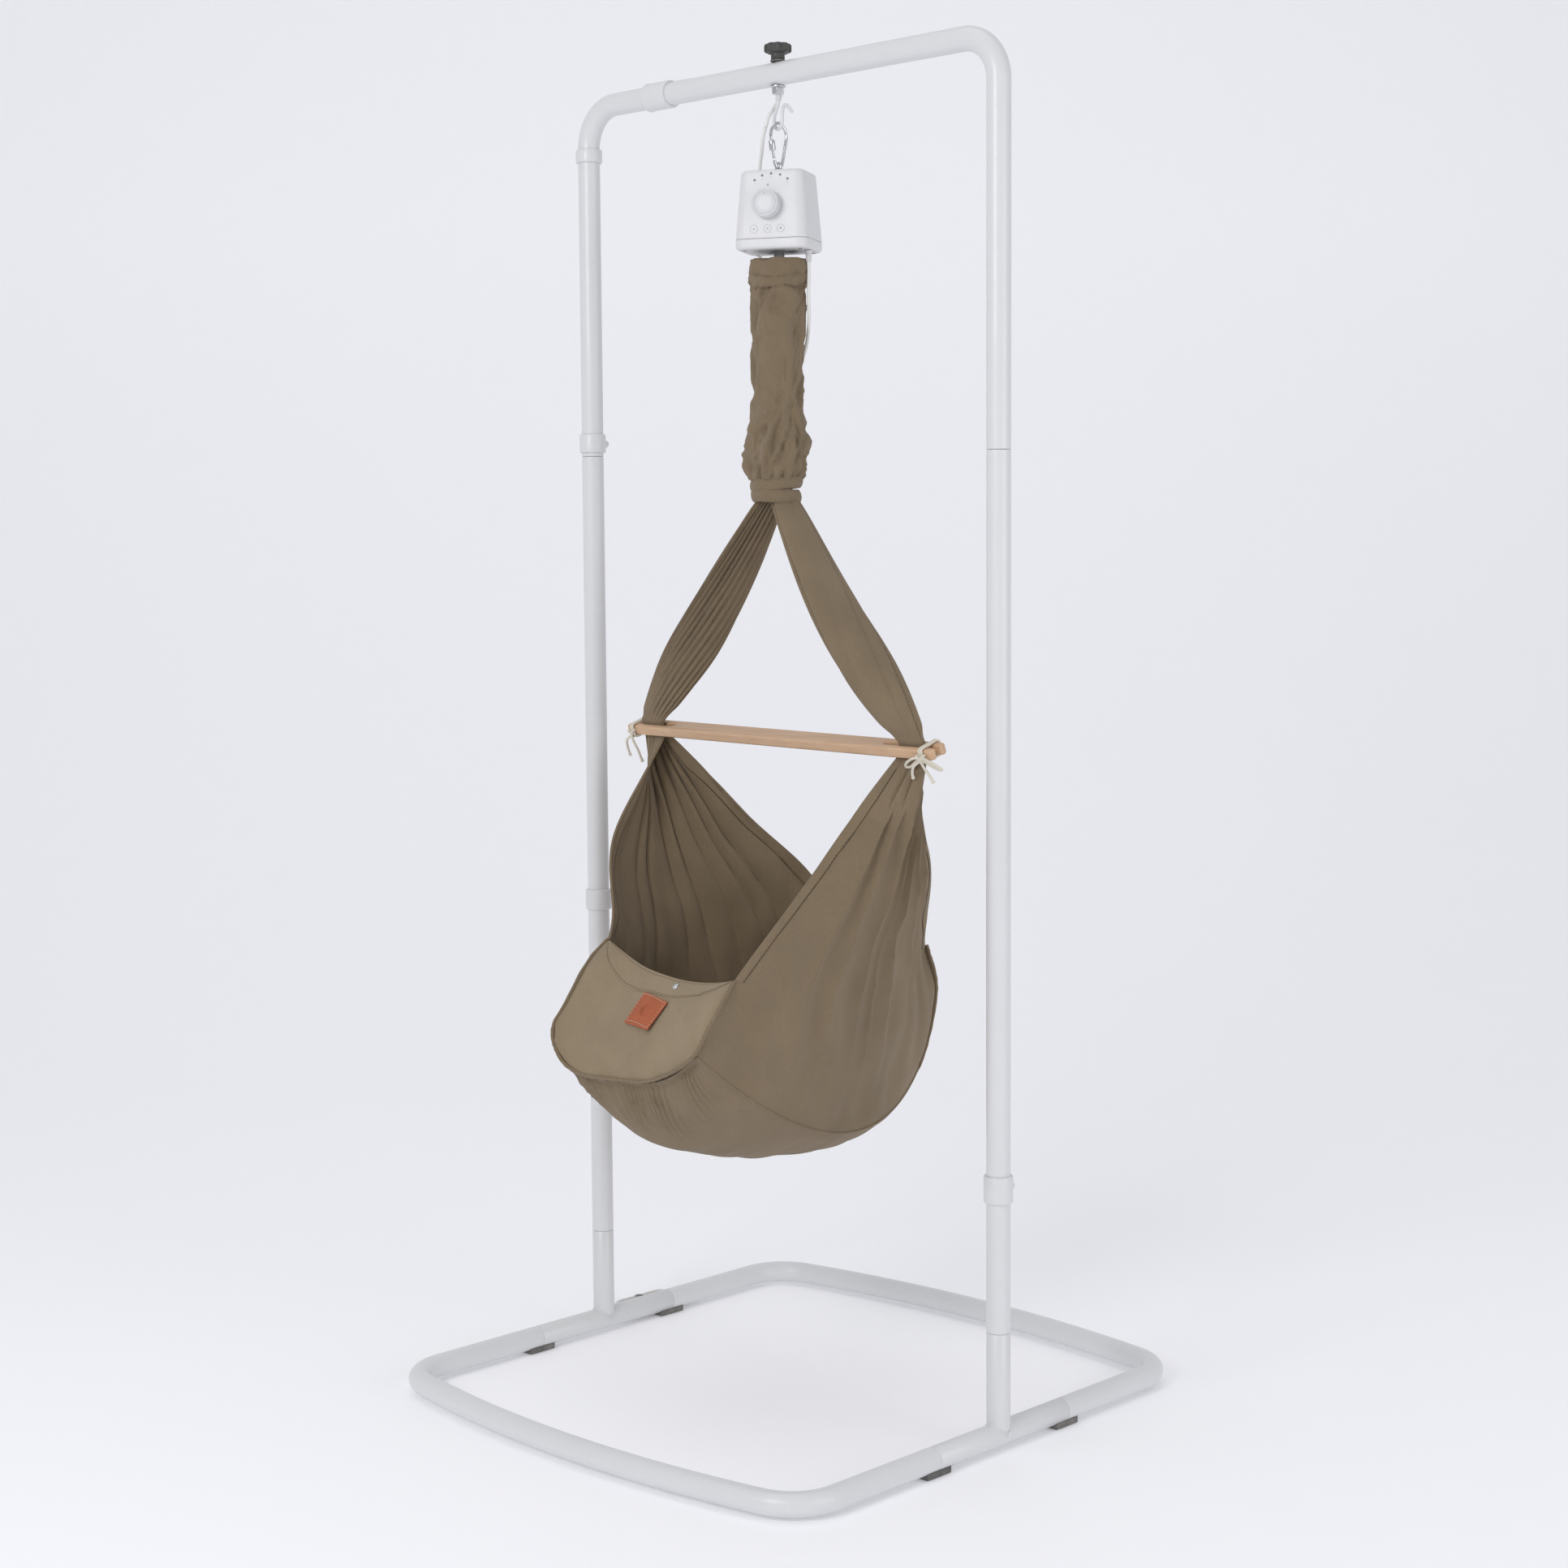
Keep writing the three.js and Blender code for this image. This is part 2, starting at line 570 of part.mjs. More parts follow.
function makeMotor() {
  const group = new THREE.Group();
  group.rotation.z = motorTurn;
  object.add(group);
  const wallless = (extra) => [motorWidth - 2 * motorWall - extra, motorDepth - 2 * motorWall - extra];
  const shell = toSolid(taperedBlock(motorWidth, motorDepth, 16, motorSeam + gap, motorTop, 4));
  const hollow = taperedBlock(...wallless(0), 13.5, motorSeam - 5, motorTop - motorWall, 2);
  const holes = [
    hollow,
    ontoFront(turned([[0, -12], [3.7, -12], [3.7, 6], [0, 6]], 12), dialX, dialZ),
    turned([[0, motorTop - 8], [2.3, motorTop - 8], [2.3, motorTop + 3], [0, motorTop + 3]], 10),
  ];
  for (let i = 0; i < 5; i++) {
    const [x, z] = ledPlace(i);
    holes.push(ontoFront(turned([[0, -8], [1.8, -8], [1.8, 4], [0, 4]], 8), x, z));
  }
  addPiece('motor_case', fromSolid(cutAll(shell, holes)), 'whitePlastic', group);

  const tray = new THREE.ExtrudeGeometry(roundedRectangle(motorWidth, motorDepth, 16), {
    depth: motorSeam - motorBottom, bevelEnabled: true, bevelThickness: 5, bevelSize: 4.5, bevelOffset: -4.5,
    bevelSegments: 2, curveSegments: 3,
  }).translate(0, 0, motorBottom + 5);
  const lid = toSolid(tray).subtract(toSolid(block(140, 140, 20, 0, 0, motorSeam + 10)));
  const trayHollow = new THREE.ExtrudeGeometry(roundedRectangle(motorWidth - 18, motorDepth - 18, 10), {
    depth: 20, bevelEnabled: false, curveSegments: 3,
  }).translate(0, 0, motorBottom + 3);
  const strapSlot = block(19, 6, 20, 0, 0, motorBottom);
  const glandHole = turned([
    [0, motorBottom - 9], [4.3, motorBottom - 9], [4.3, motorBottom + 9], [0, motorBottom + 9],
  ], 12).translate(glandX, glandY, 0);
  const cover = cutAll(lid, [trayHollow, strapSlot, glandHole]);
  addPiece('motor_bottom_cover', fromSolid(cover), 'whitePlastic', group);

  // the eye on top, through which the carabiner passes
  const eyeRod = 1.9;
  const eyeZ = 1707.3;
  const eyeTurn = hookTurn - motorTurn;
  const eyeRing = new THREE.TorusGeometry(5.5, eyeRod, 6, 16).rotateX(Math.PI / 2)
    .rotateZ(eyeTurn).translate(0, 0, eyeZ + 2.2);
  const eyeShank = turned([
    [0, 1688], [2, 1688], [2, motorTop + gap], [6, motorTop + gap], [6, motorTop + 1.9], [0, motorTop + 1.9],
  ], 10);
  const eyeNut = new THREE.CylinderGeometry(5, 5, 4, 6).rotateX(Math.PI / 2).translate(0, 0, 1696.8);
  addPiece('motor_eye', fromSolid(joinAll([eyeShank, eyeNut, eyeRing])), 'chrome', group);

  // the dial, with its spindle
  const dial = turned([[0, 0.5], [16.8, 0.5], [19, 3], [19, 15], [17.6, 17], [0, 17]], 24);
  const spindle = turned([[0, -9], [3, -9], [3, 1], [0, 1]], 8);
  const dialSolid = joinAll([dial, spindle]);
  addPiece('dial_knob', ontoFront(fromSolid(dialSolid), dialX, dialZ), 'whitePlastic', group);

  // five light guides on one carrier behind the front wall
  const pins = [];
  for (let i = 0; i < 5; i++) {
    const [x, z] = ledPlace(i);
    pins.push(ontoFront(turned([[0, -5], [1.5, -5], [1.5, 0.2], [0, 0.2]], 6), x, z));
    if (i > 0) {
      const [px, pz] = ledPlace(i - 1);
      const link = block(Math.hypot(x - px, z - pz) + 2, 3, 2.4, 0, 0, -4.2)
        .rotateZ(Math.atan2(pz - z, px - x));
      pins.push(ontoFront(link, (x + px) / 2, (z + pz) / 2));
    }
  }
  addPiece('light_guides', fromSolid(joinAll(pins)), 'greyWebbing', group);

  const board = joinAll([
    block(66, 1.6, 52, 0, -26, 1652),
    block(14, 5, 14, dialX, -28.6, dialZ),
    block(18, 6, 10, 18, -22.4, 1638),
  ]);
  addPiece('circuit_board', fromSolid(board), 'greenBoard', group);

  // gearmotor and the drum that winds the lift strap
  const drumY = 14 + 1.4 + gap;
  const gearmotor = turned([
    [0, 13.5], [4, 13.5], [4, 15], [15, 15], [15, 38], [12.5, 38], [12.5, 43.5], [0, 43.5],
  ], 12).rotateY(Math.PI / 2).translate(0, drumY, 1650);
  addPiece('gearmotor', gearmotor, 'greyWebbing', group);
  const drum = turned([
    [0, -12], [17.5, -12], [17.5, -9.5], [14, -9.5], [14, 9.5],
    [17.5, 9.5], [17.5, 12], [3, 12], [3, 13.2], [0, 13.2],
  ], 12).rotateY(Math.PI / 2).translate(0, drumY, 1650);
  addPiece('drive_drum', drum, 'blackPlastic', group);

  // the webbing that comes down from the drum, with an eyelet for the spring
  const strap = block(14.5, 2.2, 82, 0, 0, 1609);
  const eyelet = new THREE.CylinderGeometry(4.2, 4.2, 10, 12).translate(0, 0, 1576);
  addPiece('lift_strap', fromSolid(cutAll(toSolid(strap), [eyelet])), 'greyWebbing', group);

  // the gland of the lead, with its tapered strain relief
  const gland = turned([
    [2.9, glandEnd], [3.7, glandEnd], [4.4, motorBottom - 3],
    [5.6, motorBottom - 3], [5.6, motorBottom - gap],
    [3.9, motorBottom - gap], [3.9, motorBottom + 6], [2.9, motorBottom + 6], [2.9, glandEnd],
  ], 12).translate(glandX, glandY, 0);
  addPiece('cable_gland', gland, 'whitePlastic', group);
}

// ---- spring, lower snap hook and sleeve ---------------------------------------------------
const springTop = 1545;
const springLow = 1395;
function makeSpring() {
  const coil = 13.5;
  const turns = 8;
  const curve = new THREE.Curve();
  curve.getPoint = (t) => {
    const angle = 2 * Math.PI * turns * t;
    return vec(coil * Math.cos(angle), coil * Math.sin(angle), springTop + (springLow - springTop) * t);
  };
  const topHook = new THREE.CatmullRomCurve3([
    vec(3.4, -6.6, 1570), vec(1.8, -3.6, 1573.8), vec(0, 0, 1574.4), vec(-1.8, 3.6, 1573.8), vec(-3.6, 6.8, 1569.5),
    vec(-3, 8, 1562), vec(4, 5, 1553), vec(11, 1, 1547.5), vec(coil, 0, springTop),
  ]);
  const lowHook = new THREE.CatmullRomCurve3([
    vec(coil, 0, springLow), vec(11, 1.5, springLow - 3), vec(5, 2, springLow - 7), vec(0, 0, springLow - 12),
    vec(-5, 0, springLow - 18), vec(-4.4, 0, springLow - 24), vec(0, 0, springLow - 27), vec(4.6, 0, springLow - 24),
  ]);
  const route = new Route([
    { curve: topHook, steps: 9 }, { curve, steps: 8 * turns }, { curve: lowHook, steps: 9 },
  ]);
  addPiece('spring', sweep(route, 2, 0, 6), 'chrome');
}

function makeLowerCarabiner() {
  const curve = new THREE.CatmullRomCurve3([
    vec(0, 0, 1376), vec(0, 6.5, 1373), vec(0, 10, 1364), vec(0, 8.5, 1347), vec(0, 5, 1330), vec(0, 0, 1326.6),
    vec(0, -5, 1330), vec(0, -8.5, 1347), vec(0, -10, 1364), vec(0, -6.5, 1373),
  ], true);
  addPiece('lower_carabiner', sweep(new Route([{ curve, steps: 18 }]), 2.25, 0, 6), 'chrome');
}

function makeNeck() {
  const neck = turned([
    [0, neckZ], [17, neckZ], [15.5, 1266], [13, 1278], [9, 1300], [0, 1300],
  ], 12);
  const curve = new THREE.CatmullRomCurve3([
    vec(0, 0, 1296), vec(9, 0, 1303), vec(12, 0, 1318), vec(8, 0, 1331), vec(0, 0, 1336.4),
    vec(-8, 0, 1331), vec(-12, 0, 1318), vec(-9, 0, 1303),
  ], true);
  const loop = sweep(new Route([{ curve, steps: 14 }]), 4, 0, 6);
  addPiece('neck_loop', fromSolid(joinAll([neck, loop])), 'taupeCotton');
}

function makeSleeve() {
  const profile = [
    [35.5, sleeveTop], [38, sleeveTop - 1], [39, 1562], [36.5, 1545], [36, 1480], [35.5, 1400], [36, 1370],
    [39, 1352], [48, 1330], [49, 1312], [38, 1287], [38.5, 1262], [36, 1252], [20, 1252], [19, 1262],
    [22, 1290], [33, 1310], [33, 1560], [35.5, sleeveTop],
  ];
  addPiece('sleeve', turned(profile, 16), 'taupeCotton');
}

// ---- spreader bar and the cloth above it --------------------------------------------------
// Places along the bar are given from its middle, along its own length.
const barGroup = new THREE.Group();
barGroup.position.set(-6, -6, barZ);
barGroup.rotation.set(barRoll, barTilt, barTurn, 'ZYX');
object.add(barGroup);
barGroup.updateMatrixWorld(true);
function onBar(along, across = 0, up = 0) {
  return barGroup.localToWorld(vec(along, across, up));
}
const gatherLeft = -280;
const gatherRight = 280;

function spreaderBar() {
  const shape = roundedRectangle(barLength, barWidth, 7);
  const stick = new THREE.ExtrudeGeometry(shape, {
    depth: barHeight - 5, bevelEnabled: true, bevelThickness: 2.5, bevelSize: 2.5, bevelOffset: -2.5,
    bevelSegments: 1, curveSegments: 3,
  }).translate(0, 0, -barHeight / 2 + 2.5);
  const slots = [-1, 1].map((side) => {
    const middle = side * (barLength / 2 - slotLength / 2 + 10);
    return block(slotLength + 20, slotWidth, 60, middle, 0, 0);
  });
  const rounds = [-1, 1].map((side) => new THREE.CylinderGeometry(slotWidth / 2, slotWidth / 2, 60, 12)
    .rotateX(Math.PI / 2).translate(side * (barLength / 2 - slotLength), 0, 0));
  return fromSolid(cutAll(toSolid(stick), [...slots, ...rounds]));
}

// The cotton cord that closes each forked end of the bar: a flat band round the fork with a knot.
function forkTie(side) {
  const middle = side * (barLength / 2 - 13);
  const outer = block(11, barWidth + 7, barHeight + 7, middle, 0, 0);
  const inner = block(30, barWidth + 2 * gap, barHeight + 2 * gap, middle, 0, 0);
  const knot = new THREE.SphereGeometry(8, 10, 6).scale(1, 0.8, 0.9)
    .translate(middle, -barWidth / 2 - 6.5, -2);
  const stick = block(40, barWidth + 2 * gap, barHeight + 2 * gap, middle, 0, 0);
  return fromSolid(joinAll([outer, knot]).subtract(toSolid(inner)).subtract(toSolid(stick)));
}

// A gathered cloth strap from the neck down through the slot of the bar.
function clothStrap(side) {
  const gather = side < 0 ? gatherLeft : gatherRight;
  const start = vec(-2 + side * 11.5, -2, neckZ - gap);
  const end = onBar(gather, 0, barHeight / 2 + 6);
  const alongBar = onBar(1).sub(onBar(0));
  const acrossSlot = onBar(0, 1).sub(onBar(0));
  const acrossLevel = vec(-Math.sin(barTurn), Math.cos(barTurn), 0);
  const rings = [];
  const sections = 8;
  const sides = 10;
  const ring = (centre, wide, thick, a, b) => Array.from({ length: sides }, (_, k) => {
    const angle = 2 * Math.PI * k / sides;
    return centre.clone()
      .addScaledVector(wide, a * Math.cos(angle))
      .addScaledVector(thick, b * Math.sin(angle));
  });
  for (let i = 0; i < sections; i++) {
    const t = i / (sections - 1);
    const centre = mixed(start, end, t);
    const twist = t * t;
    const acrossBar = mixed(acrossLevel, acrossSlot, twist * twist).normalize();
    const wide = acrossBar.clone().multiplyScalar(1 - twist).addScaledVector(alongBar, twist).normalize();
    const thick = acrossBar.clone().multiplyScalar(twist).addScaledVector(alongBar, -(1 - twist)).normalize();
    const swell = Math.sin(Math.PI * Math.min(1, t * 1.02)) ** 0.7;
    const a = (1 - t) * 14 + t * 27 + 16 * swell;
    const b = (1 - t) * 10.5 + t * 8 + 5 * swell;
    rings.push(ring(centre, wide, thick, a, b));
  }
  const inSlot = slotWidth / 2 - 0.4;
  for (const up of [barHeight / 2 + 1.5, -barHeight / 2 - 2]) {
    rings.push(ring(onBar(gather, 0, up), alongBar, acrossSlot, 25, inSlot));
  }
  return skinRings(rings);
}

// ---- cradle -------------------------------------------------------------------------------
// Corners of the cradle's rim and the curves between them, in the object's frame.
const rim = {
  frontLeft: vec(-158, -189, 648),
  frontRight: vec(158, -255, 631),
  rearLeft: vec(-120, 200, 688),
  rearRight: vec(100, 190, 622),
};
// How far each free edge of a side panel strays from the straight line, halfway down.
const slack = {
  frontLeft: vec(-20, -24, 0), frontRight: vec(-8, 6, 0), rearLeft: vec(8, -6, 0), rearRight: vec(13, 15, 0),
};
// At each end: the waist, where the end panel is widest, the foot, where the bottom seam meets
// it, and the lowest point of its own seam.  The rear end is narrower and rounder.
const frontEnd = {
  waist: vec(152, -296, 575), foot: vec(132, -304, 537), low: vec(0, -296, 483), bulge: 16, y: -296,
  clear: 0.045,
};
const rearEnd = {
  waist: vec(96, 215, 556), foot: vec(80, 194, 442), low: vec(0, 222, 408), bulge: 48, y: 204,
  clear: 0.065,
};
const seamMiddle = { x: 150, z: 397 };
const keelStart = -296;
const keelStep = 74;
const keelHeights = [483, 386, 361, 348, 345, 348, 365, 405];
const keel = new THREE.CatmullRomCurve3(
  keelHeights.map((z, i) => vec(0, keelStart + i * keelStep, z)), false, 'catmullrom');

function keelZ(y) {
  return keel.getPoint(Math.min(1, Math.max(0, (y - keelStart) / (keelStep * (keelHeights.length - 1))))).z;
}

// The cloth hangs lower at its front left corner: everything there is moved down smoothly.
const cornerDrop = 34;
function smoothly(value) {
  const t = Math.min(1, Math.max(0, value));
  return t * t * (3 - 2 * t);
}

function settled(geometry) {
  const place = geometry.attributes.position;
  for (let i = 0; i < place.count; i++) {
    const [x, y, z] = [place.getX(i), place.getY(i), place.getZ(i)];
    const share = smoothly(-x / 130) * smoothly((-150 - y) / 130) * smoothly((640 - z) / 50);
    place.setZ(i, z - cornerDrop * share);
  }
  return geometry;
}

function onSide(point, side) {
  return vec(side * point.x, point.y, point.z);
}

function quadratic(a, b, c, t) {
  // passes through a at -1, b at 0 and c at 1
  return a.clone().multiplyScalar(t * (t - 1) / 2)
    .addScaledVector(b, 1 - t * t)
    .addScaledVector(c, t * (t + 1) / 2);
}

// The edge of a side panel: from the gather, over the rim corner, to the end of the bottom seam.
function panelEdge(side, end) {
  const key = (end < 0 ? 'front' : 'rear') + (side < 0 ? 'Left' : 'Right');
  const gather = side < 0 ? gatherLeft : gatherRight;
  const shape = end < 0 ? frontEnd : rearEnd;
  const top = onBar(gather, 0, -barHeight / 2 - 5).add(vec(0, end * 3, 0));
  const corner = rim[key];
  const halfWay = mixed(top, corner, 0.5).add(slack[key]);
  return new THREE.CatmullRomCurve3([
    top, halfWay, corner, onSide(shape.waist, side), onSide(shape.foot, side),
  ]);
}

function panelMiddle(side) {
  const gather = side < 0 ? gatherLeft : gatherRight;
  const y = side < 0 ? 10 : -42;
  const top = onBar(gather, 0, -barHeight / 2 - 5);
  return new THREE.CatmullRomCurve3([
    top, vec(side * 232, y * 0.8, 740), vec(side * 192, y, 600), vec(side * 174, y, 500),
    seamPoint(side, 0),
  ]);
}

function sidePanel(side) {
  const front = panelEdge(side, -1);
  const middle = panelMiddle(side);
  const rear = panelEdge(side, 1);
  const surface = (u, v) => quadratic(front.getPoint(v), middle.getPoint(v), rear.getPoint(v), 2 * u - 1);
  return thinSheet(surface, 10, 9, clothThickness, vec(0, 0, 560));
}

// The bottom: spans from seam to seam and bellies down to the keel.
function seamPoint(side, t) {
  const middle = vec(side * seamMiddle.x, (frontEnd.foot.y + rearEnd.foot.y) / 2, seamMiddle.z);
  return quadratic(onSide(frontEnd.foot, side), middle, onSide(rearEnd.foot, side), t);
}

function cradleBottom() {
  const surface = (u, v) => {
    const t = (2 * u - 1) * 0.985;
    const across = (2 * v - 1) * 0.985;
    const left = seamPoint(-1, t);
    const right = seamPoint(1, t);
    const point = mixed(left, right, (across + 1) / 2);
    const middleLow = mixed(frontEnd.low, rearEnd.low, (t + 1) / 2);
    const belly = 1 - Math.abs(across) ** 2.2;
    point.y += (middleLow.y - mixed(frontEnd.foot, rearEnd.foot, (t + 1) / 2).y) * belly;
    point.z -= (point.z - keelZ(point.y)) * belly + 1.2;
    return point;
  };
  return thinSheet(surface, 12, 8, clothThickness, vec(0, 0, 620));
}

// The outer side of an end panel, between the rim's short edge and the curved seam below it.
function endSurface(end) {
  const left = end < 0 ? rim.frontLeft : rim.rearLeft;
  const right = end < 0 ? rim.frontRight : rim.rearRight;
  const shape = end < 0 ? frontEnd : rearEnd;
  const top = (s) => {
    const p = mixed(left, right, (s + 1) / 2);
    p.z -= 22 * (1 - s * s);
    return p;
  };
  const low = shape.low.clone().add(vec(0, 0, 2));
  const quarter = mixed(shape.foot, low, 0.52).add(vec(0, 0, -0.22 * (shape.foot.z - low.z)));
  const lower = new THREE.CatmullRomCurve3([
    left, onSide(shape.waist, -1), onSide(shape.foot, -1), onSide(quarter, -1), low, quarter, shape.foot,
    shape.waist, right,
  ]);
  const middle = vec(0, shape.y, 560);
  const surface = (u, v) => {
    const s = (2 * u - 1) * 0.93;
    const point = mixed(top(s), lower.getPoint((s + 1) / 2), 0.015 + 0.97 * v);
    point.lerp(middle, shape.clear);
    point.y += end * shape.bulge * (1 - s * s) * Math.sin(Math.PI * v);
    return point;
  };
  return surface;
}

function endPanel(end) {
  return thinSheet(endSurface(end), 12, 5, clothThickness, vec(0, 0, 600));
}

// Lays a piece made about +Z on the front panel, turned in the panel's own plane.
function ontoFrontPanel(geometry, u, v, turn, lift) {
  const surface = endSurface(-1);
  const place = surface(u, v);
  const across = surface(u + 0.02, v).sub(surface(u - 0.02, v)).normalize();
  const down = surface(u, v + 0.02).sub(surface(u, v - 0.02));
  const out = down.cross(across).normalize();
  if (out.y > 0) out.negate();
  const up = out.clone().cross(across);
  const basis = new THREE.Matrix4().makeBasis(across, up, out);
  basis.setPosition(place.addScaledVector(out, lift));
  return geometry.rotateZ(turn).applyMatrix4(basis);
}

// The foam mattress on the cradle's floor.
function mattress() {
  const rings = [];
  const levels = [[0.62, 0], [0.93, 9], [1, 20], [0.97, 31], [0.9, 34]];
  const sides = 20;
  for (const [scale, up] of levels) {
    rings.push(Array.from({ length: sides }, (_, k) => {
      const angle = 2 * Math.PI * k / sides;
      const squareness = (c) => Math.sign(c) * Math.abs(c) ** 0.55;
      const x = 104 * scale * squareness(Math.cos(angle));
      const y = -32 + 178 * scale * squareness(Math.sin(angle));
      return vec(x, y, 377 + up + 0.0011 * (y + 20) ** 2 * (1 - up / 60));
    }));
  }
  return skinRings(rings);
}

const labelWidth = 60;
const labelHeight = 47;
function leatherLabel() {
  const patch = new THREE.ExtrudeGeometry(roundedRectangle(labelWidth, labelHeight, 3), {
    depth: 2, bevelEnabled: false, curveSegments: 2,
  });
  return ontoFrontPanel(patch, 0.5, 0.33, THREE.MathUtils.degToRad(-8), 2.6);
}

function pressStud() {
  const stud = turned([[0, 0], [5, 0], [5, 1.2], [3.4, 2.6], [0, 2.6]], 12);
  return ontoFrontPanel(stud, 0.6, 0.07, 0, 0.8);
}

function makeCradle() {
  addPiece('spreader_bar', spreaderBar(), 'beech', barGroup);
  addPiece('left_fork_tie', forkTie(-1), 'cottonCord', barGroup);
  addPiece('right_fork_tie', forkTie(1), 'cottonCord', barGroup);
  addPiece('left_strap', clothStrap(-1), 'taupeCotton');
  addPiece('right_strap', clothStrap(1), 'taupeCotton');
  addPiece('left_side_panel', settled(sidePanel(-1)), 'taupeCotton');
  addPiece('right_side_panel', settled(sidePanel(1)), 'taupeCotton');
  addPiece('cradle_bottom', settled(cradleBottom()), 'taupeCotton');
  addPiece('front_end_panel', settled(endPanel(-1)), 'lightCotton');
  addPiece('rear_end_panel', endPanel(1), 'lightCotton');
  addPiece('mattress', settled(mattress()), 'lightCotton');
  addPiece('leather_label', settled(leatherLabel()), 'leather');
  addPiece('press_stud', settled(pressStud()), 'chrome');
}

// ---- leads --------------------------------------------------------------------------------
// The motor's lead hangs in a loop behind the sleeve and rises behind the motor to the pivot.
const motorLeadRoute = [
  [41.9, 14.6, 1579.4], [41.9, 14.9, 1565], [40, 16, 1535], [33, 24, 1500], [16, 36, 1468], [-5, 45, 1446],
  [-26, 46, 1436], [-43, 38, 1438], [-54, 30, 1452], [-60, 26, 1480], [-62, 25, 1520], [-62, 25, 1570],
  [-61, 25, 1630], [-58, 22, 1680], [-48, 12, 1712], [-32, 0, 1735], [-20, -9, 1752], [-16, -10, 1760],
];
// The supply lead goes on over the back of the crossbar and down the far side of the left upright.
const supplyLeadRoute = [
  [-14.6, -9.6, 1764.5], [-12, -7, 1778], [-11, 4, 1792], [-12, 16, 1806], [-15, 21.5, 1822], [-22, 20, 1840],
  [-36, 15.2, 1850.5], [-62, 13.8, 1851.8], [-110, 13.8, 1851.8], [-160, 13.8, 1851.8], [-200, 15.6, 1854],
  [-232, 16, 1854.5], [-266, 15.2, 1853.5], [-310, 14, 1852], [-344, 14, 1850], [-376, 14, 1836],
  [-396, 14.5, 1812], [-404, 15, 1782], [-406, 15.5, 1755], [-403, 15, 1700], [-403, 15, 1600],
  [-403, 15, 1400], [-405, 16, 1348], [-403, 15, 1290], [-403, 15, 1100], [-403, 15, 900], [-403, 15, 700],
  [-405, 16, 666], [-403, 15, 630], [-403, 15, 450], [-403, 15, 250], [-404, 15, 120],
  [-405.5, 16, 74], [-407.5, 22, 46], [-408.3, 34, 27], [-408.5, 50, 19.8], [-408.5, 65.2, 18.3],
];
const hank = { x: -424, yStart: 60, length: 110, width: 36, height: 20.8 };
const plugPlace = [-408.5, 165.7, 5.2];

function leadTube(route, steps) {
  const curve = new THREE.CatmullRomCurve3(route.map(([x, y, z]) => vec(x, y, z)));
  return sweep(new Route([{ curve, steps }]), leadRadius, 0, 8);
}

function leadHank() {
  const outline = roundedRectangle(hank.width, hank.length, hank.width / 2 - 0.01);
  const wound = new THREE.ExtrudeGeometry(outline, { depth: hank.height, bevelEnabled: false, curveSegments: 4 });
  return wound.translate(hank.x, hank.yStart + hank.length / 2, 0.2);
}

// A small round low-voltage plug, lying at the end of the hank.
function leadPlug() {
  const plug = turned([
    [0, 0], [3.4, 0], [4.6, 10], [5, 12], [5, 30], [4, 31], [2.75, 31], [2.75, 41], [0, 41],
  ], 12).rotateX(-Math.PI / 2);
  return plug.translate(...plugPlace);
}

function makeLeads() {
  addPiece('motor_lead', leadTube(motorLeadRoute, 34), 'whiteLead');
  addPiece('supply_lead', leadTube(supplyLeadRoute, 50), 'whiteLead');
  addPiece('lead_hank', leadHank(), 'whiteLead');
  addPiece('lead_plug', leadPlug(), 'blackPlastic');
}

makeStand();
makeCollars();
makeHook();
makeCarabiner();
makeMotor();
makeSpring();
makeLowerCarabiner();
makeNeck();
makeSleeve();
makeCradle();
makeLeads();

export default object;
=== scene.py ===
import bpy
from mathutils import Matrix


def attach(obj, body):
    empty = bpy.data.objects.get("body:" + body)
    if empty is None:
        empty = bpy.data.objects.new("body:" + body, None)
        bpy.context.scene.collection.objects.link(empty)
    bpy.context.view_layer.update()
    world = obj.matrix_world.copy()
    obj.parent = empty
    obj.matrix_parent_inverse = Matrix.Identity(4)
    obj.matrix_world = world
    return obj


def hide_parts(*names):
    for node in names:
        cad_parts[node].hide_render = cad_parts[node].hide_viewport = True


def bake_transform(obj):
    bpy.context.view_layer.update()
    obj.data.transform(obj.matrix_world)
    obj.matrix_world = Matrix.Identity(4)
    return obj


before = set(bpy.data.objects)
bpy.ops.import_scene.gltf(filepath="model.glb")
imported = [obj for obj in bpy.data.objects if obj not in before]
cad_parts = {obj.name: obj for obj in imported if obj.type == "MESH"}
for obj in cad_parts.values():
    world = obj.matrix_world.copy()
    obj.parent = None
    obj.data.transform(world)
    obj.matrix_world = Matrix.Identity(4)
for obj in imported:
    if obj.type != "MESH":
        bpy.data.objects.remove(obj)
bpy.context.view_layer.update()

import math
import bpy
import bmesh
import numpy as np
from mathutils import Matrix, Vector, noise

# Sizes in the dictionaries are millimetres; everything built from them is in metres.
mm = 0.001


def at(x, y, z):
    return np.array((x, y, z), float) * mm


def mixed(a, b, t):
    return a * (1 - t) + b * t


def eased(x):
    x = min(1.0, max(0.0, x))
    return x * x * (3 - 2 * x)


def unit(v):
    return v / max(1e-12, np.linalg.norm(v))


# ---- camera ----
camera = dict(place=(2.504, -2.587, 1.1731), yaw=44.04, pitch=-4.95, roll=-0.39, lens=59.32)


def makeCamera():
    data = bpy.data.cameras.new("camera")
    data.lens = camera["lens"]
    data.sensor_width = 36
    obj = bpy.data.objects.new("camera", data)
    bpy.context.scene.collection.objects.link(obj)
    turn = (Matrix.Rotation(math.radians(camera["yaw"]), 4, "Z")
            @ Matrix.Rotation(math.radians(90 + camera["pitch"]), 4, "X")
            @ Matrix.Rotation(math.radians(camera["roll"]), 4, "Z"))
    obj.matrix_world = Matrix.Translation(camera["place"]) @ turn
    bpy.context.scene.camera = obj


makeCamera()
print("camera set")


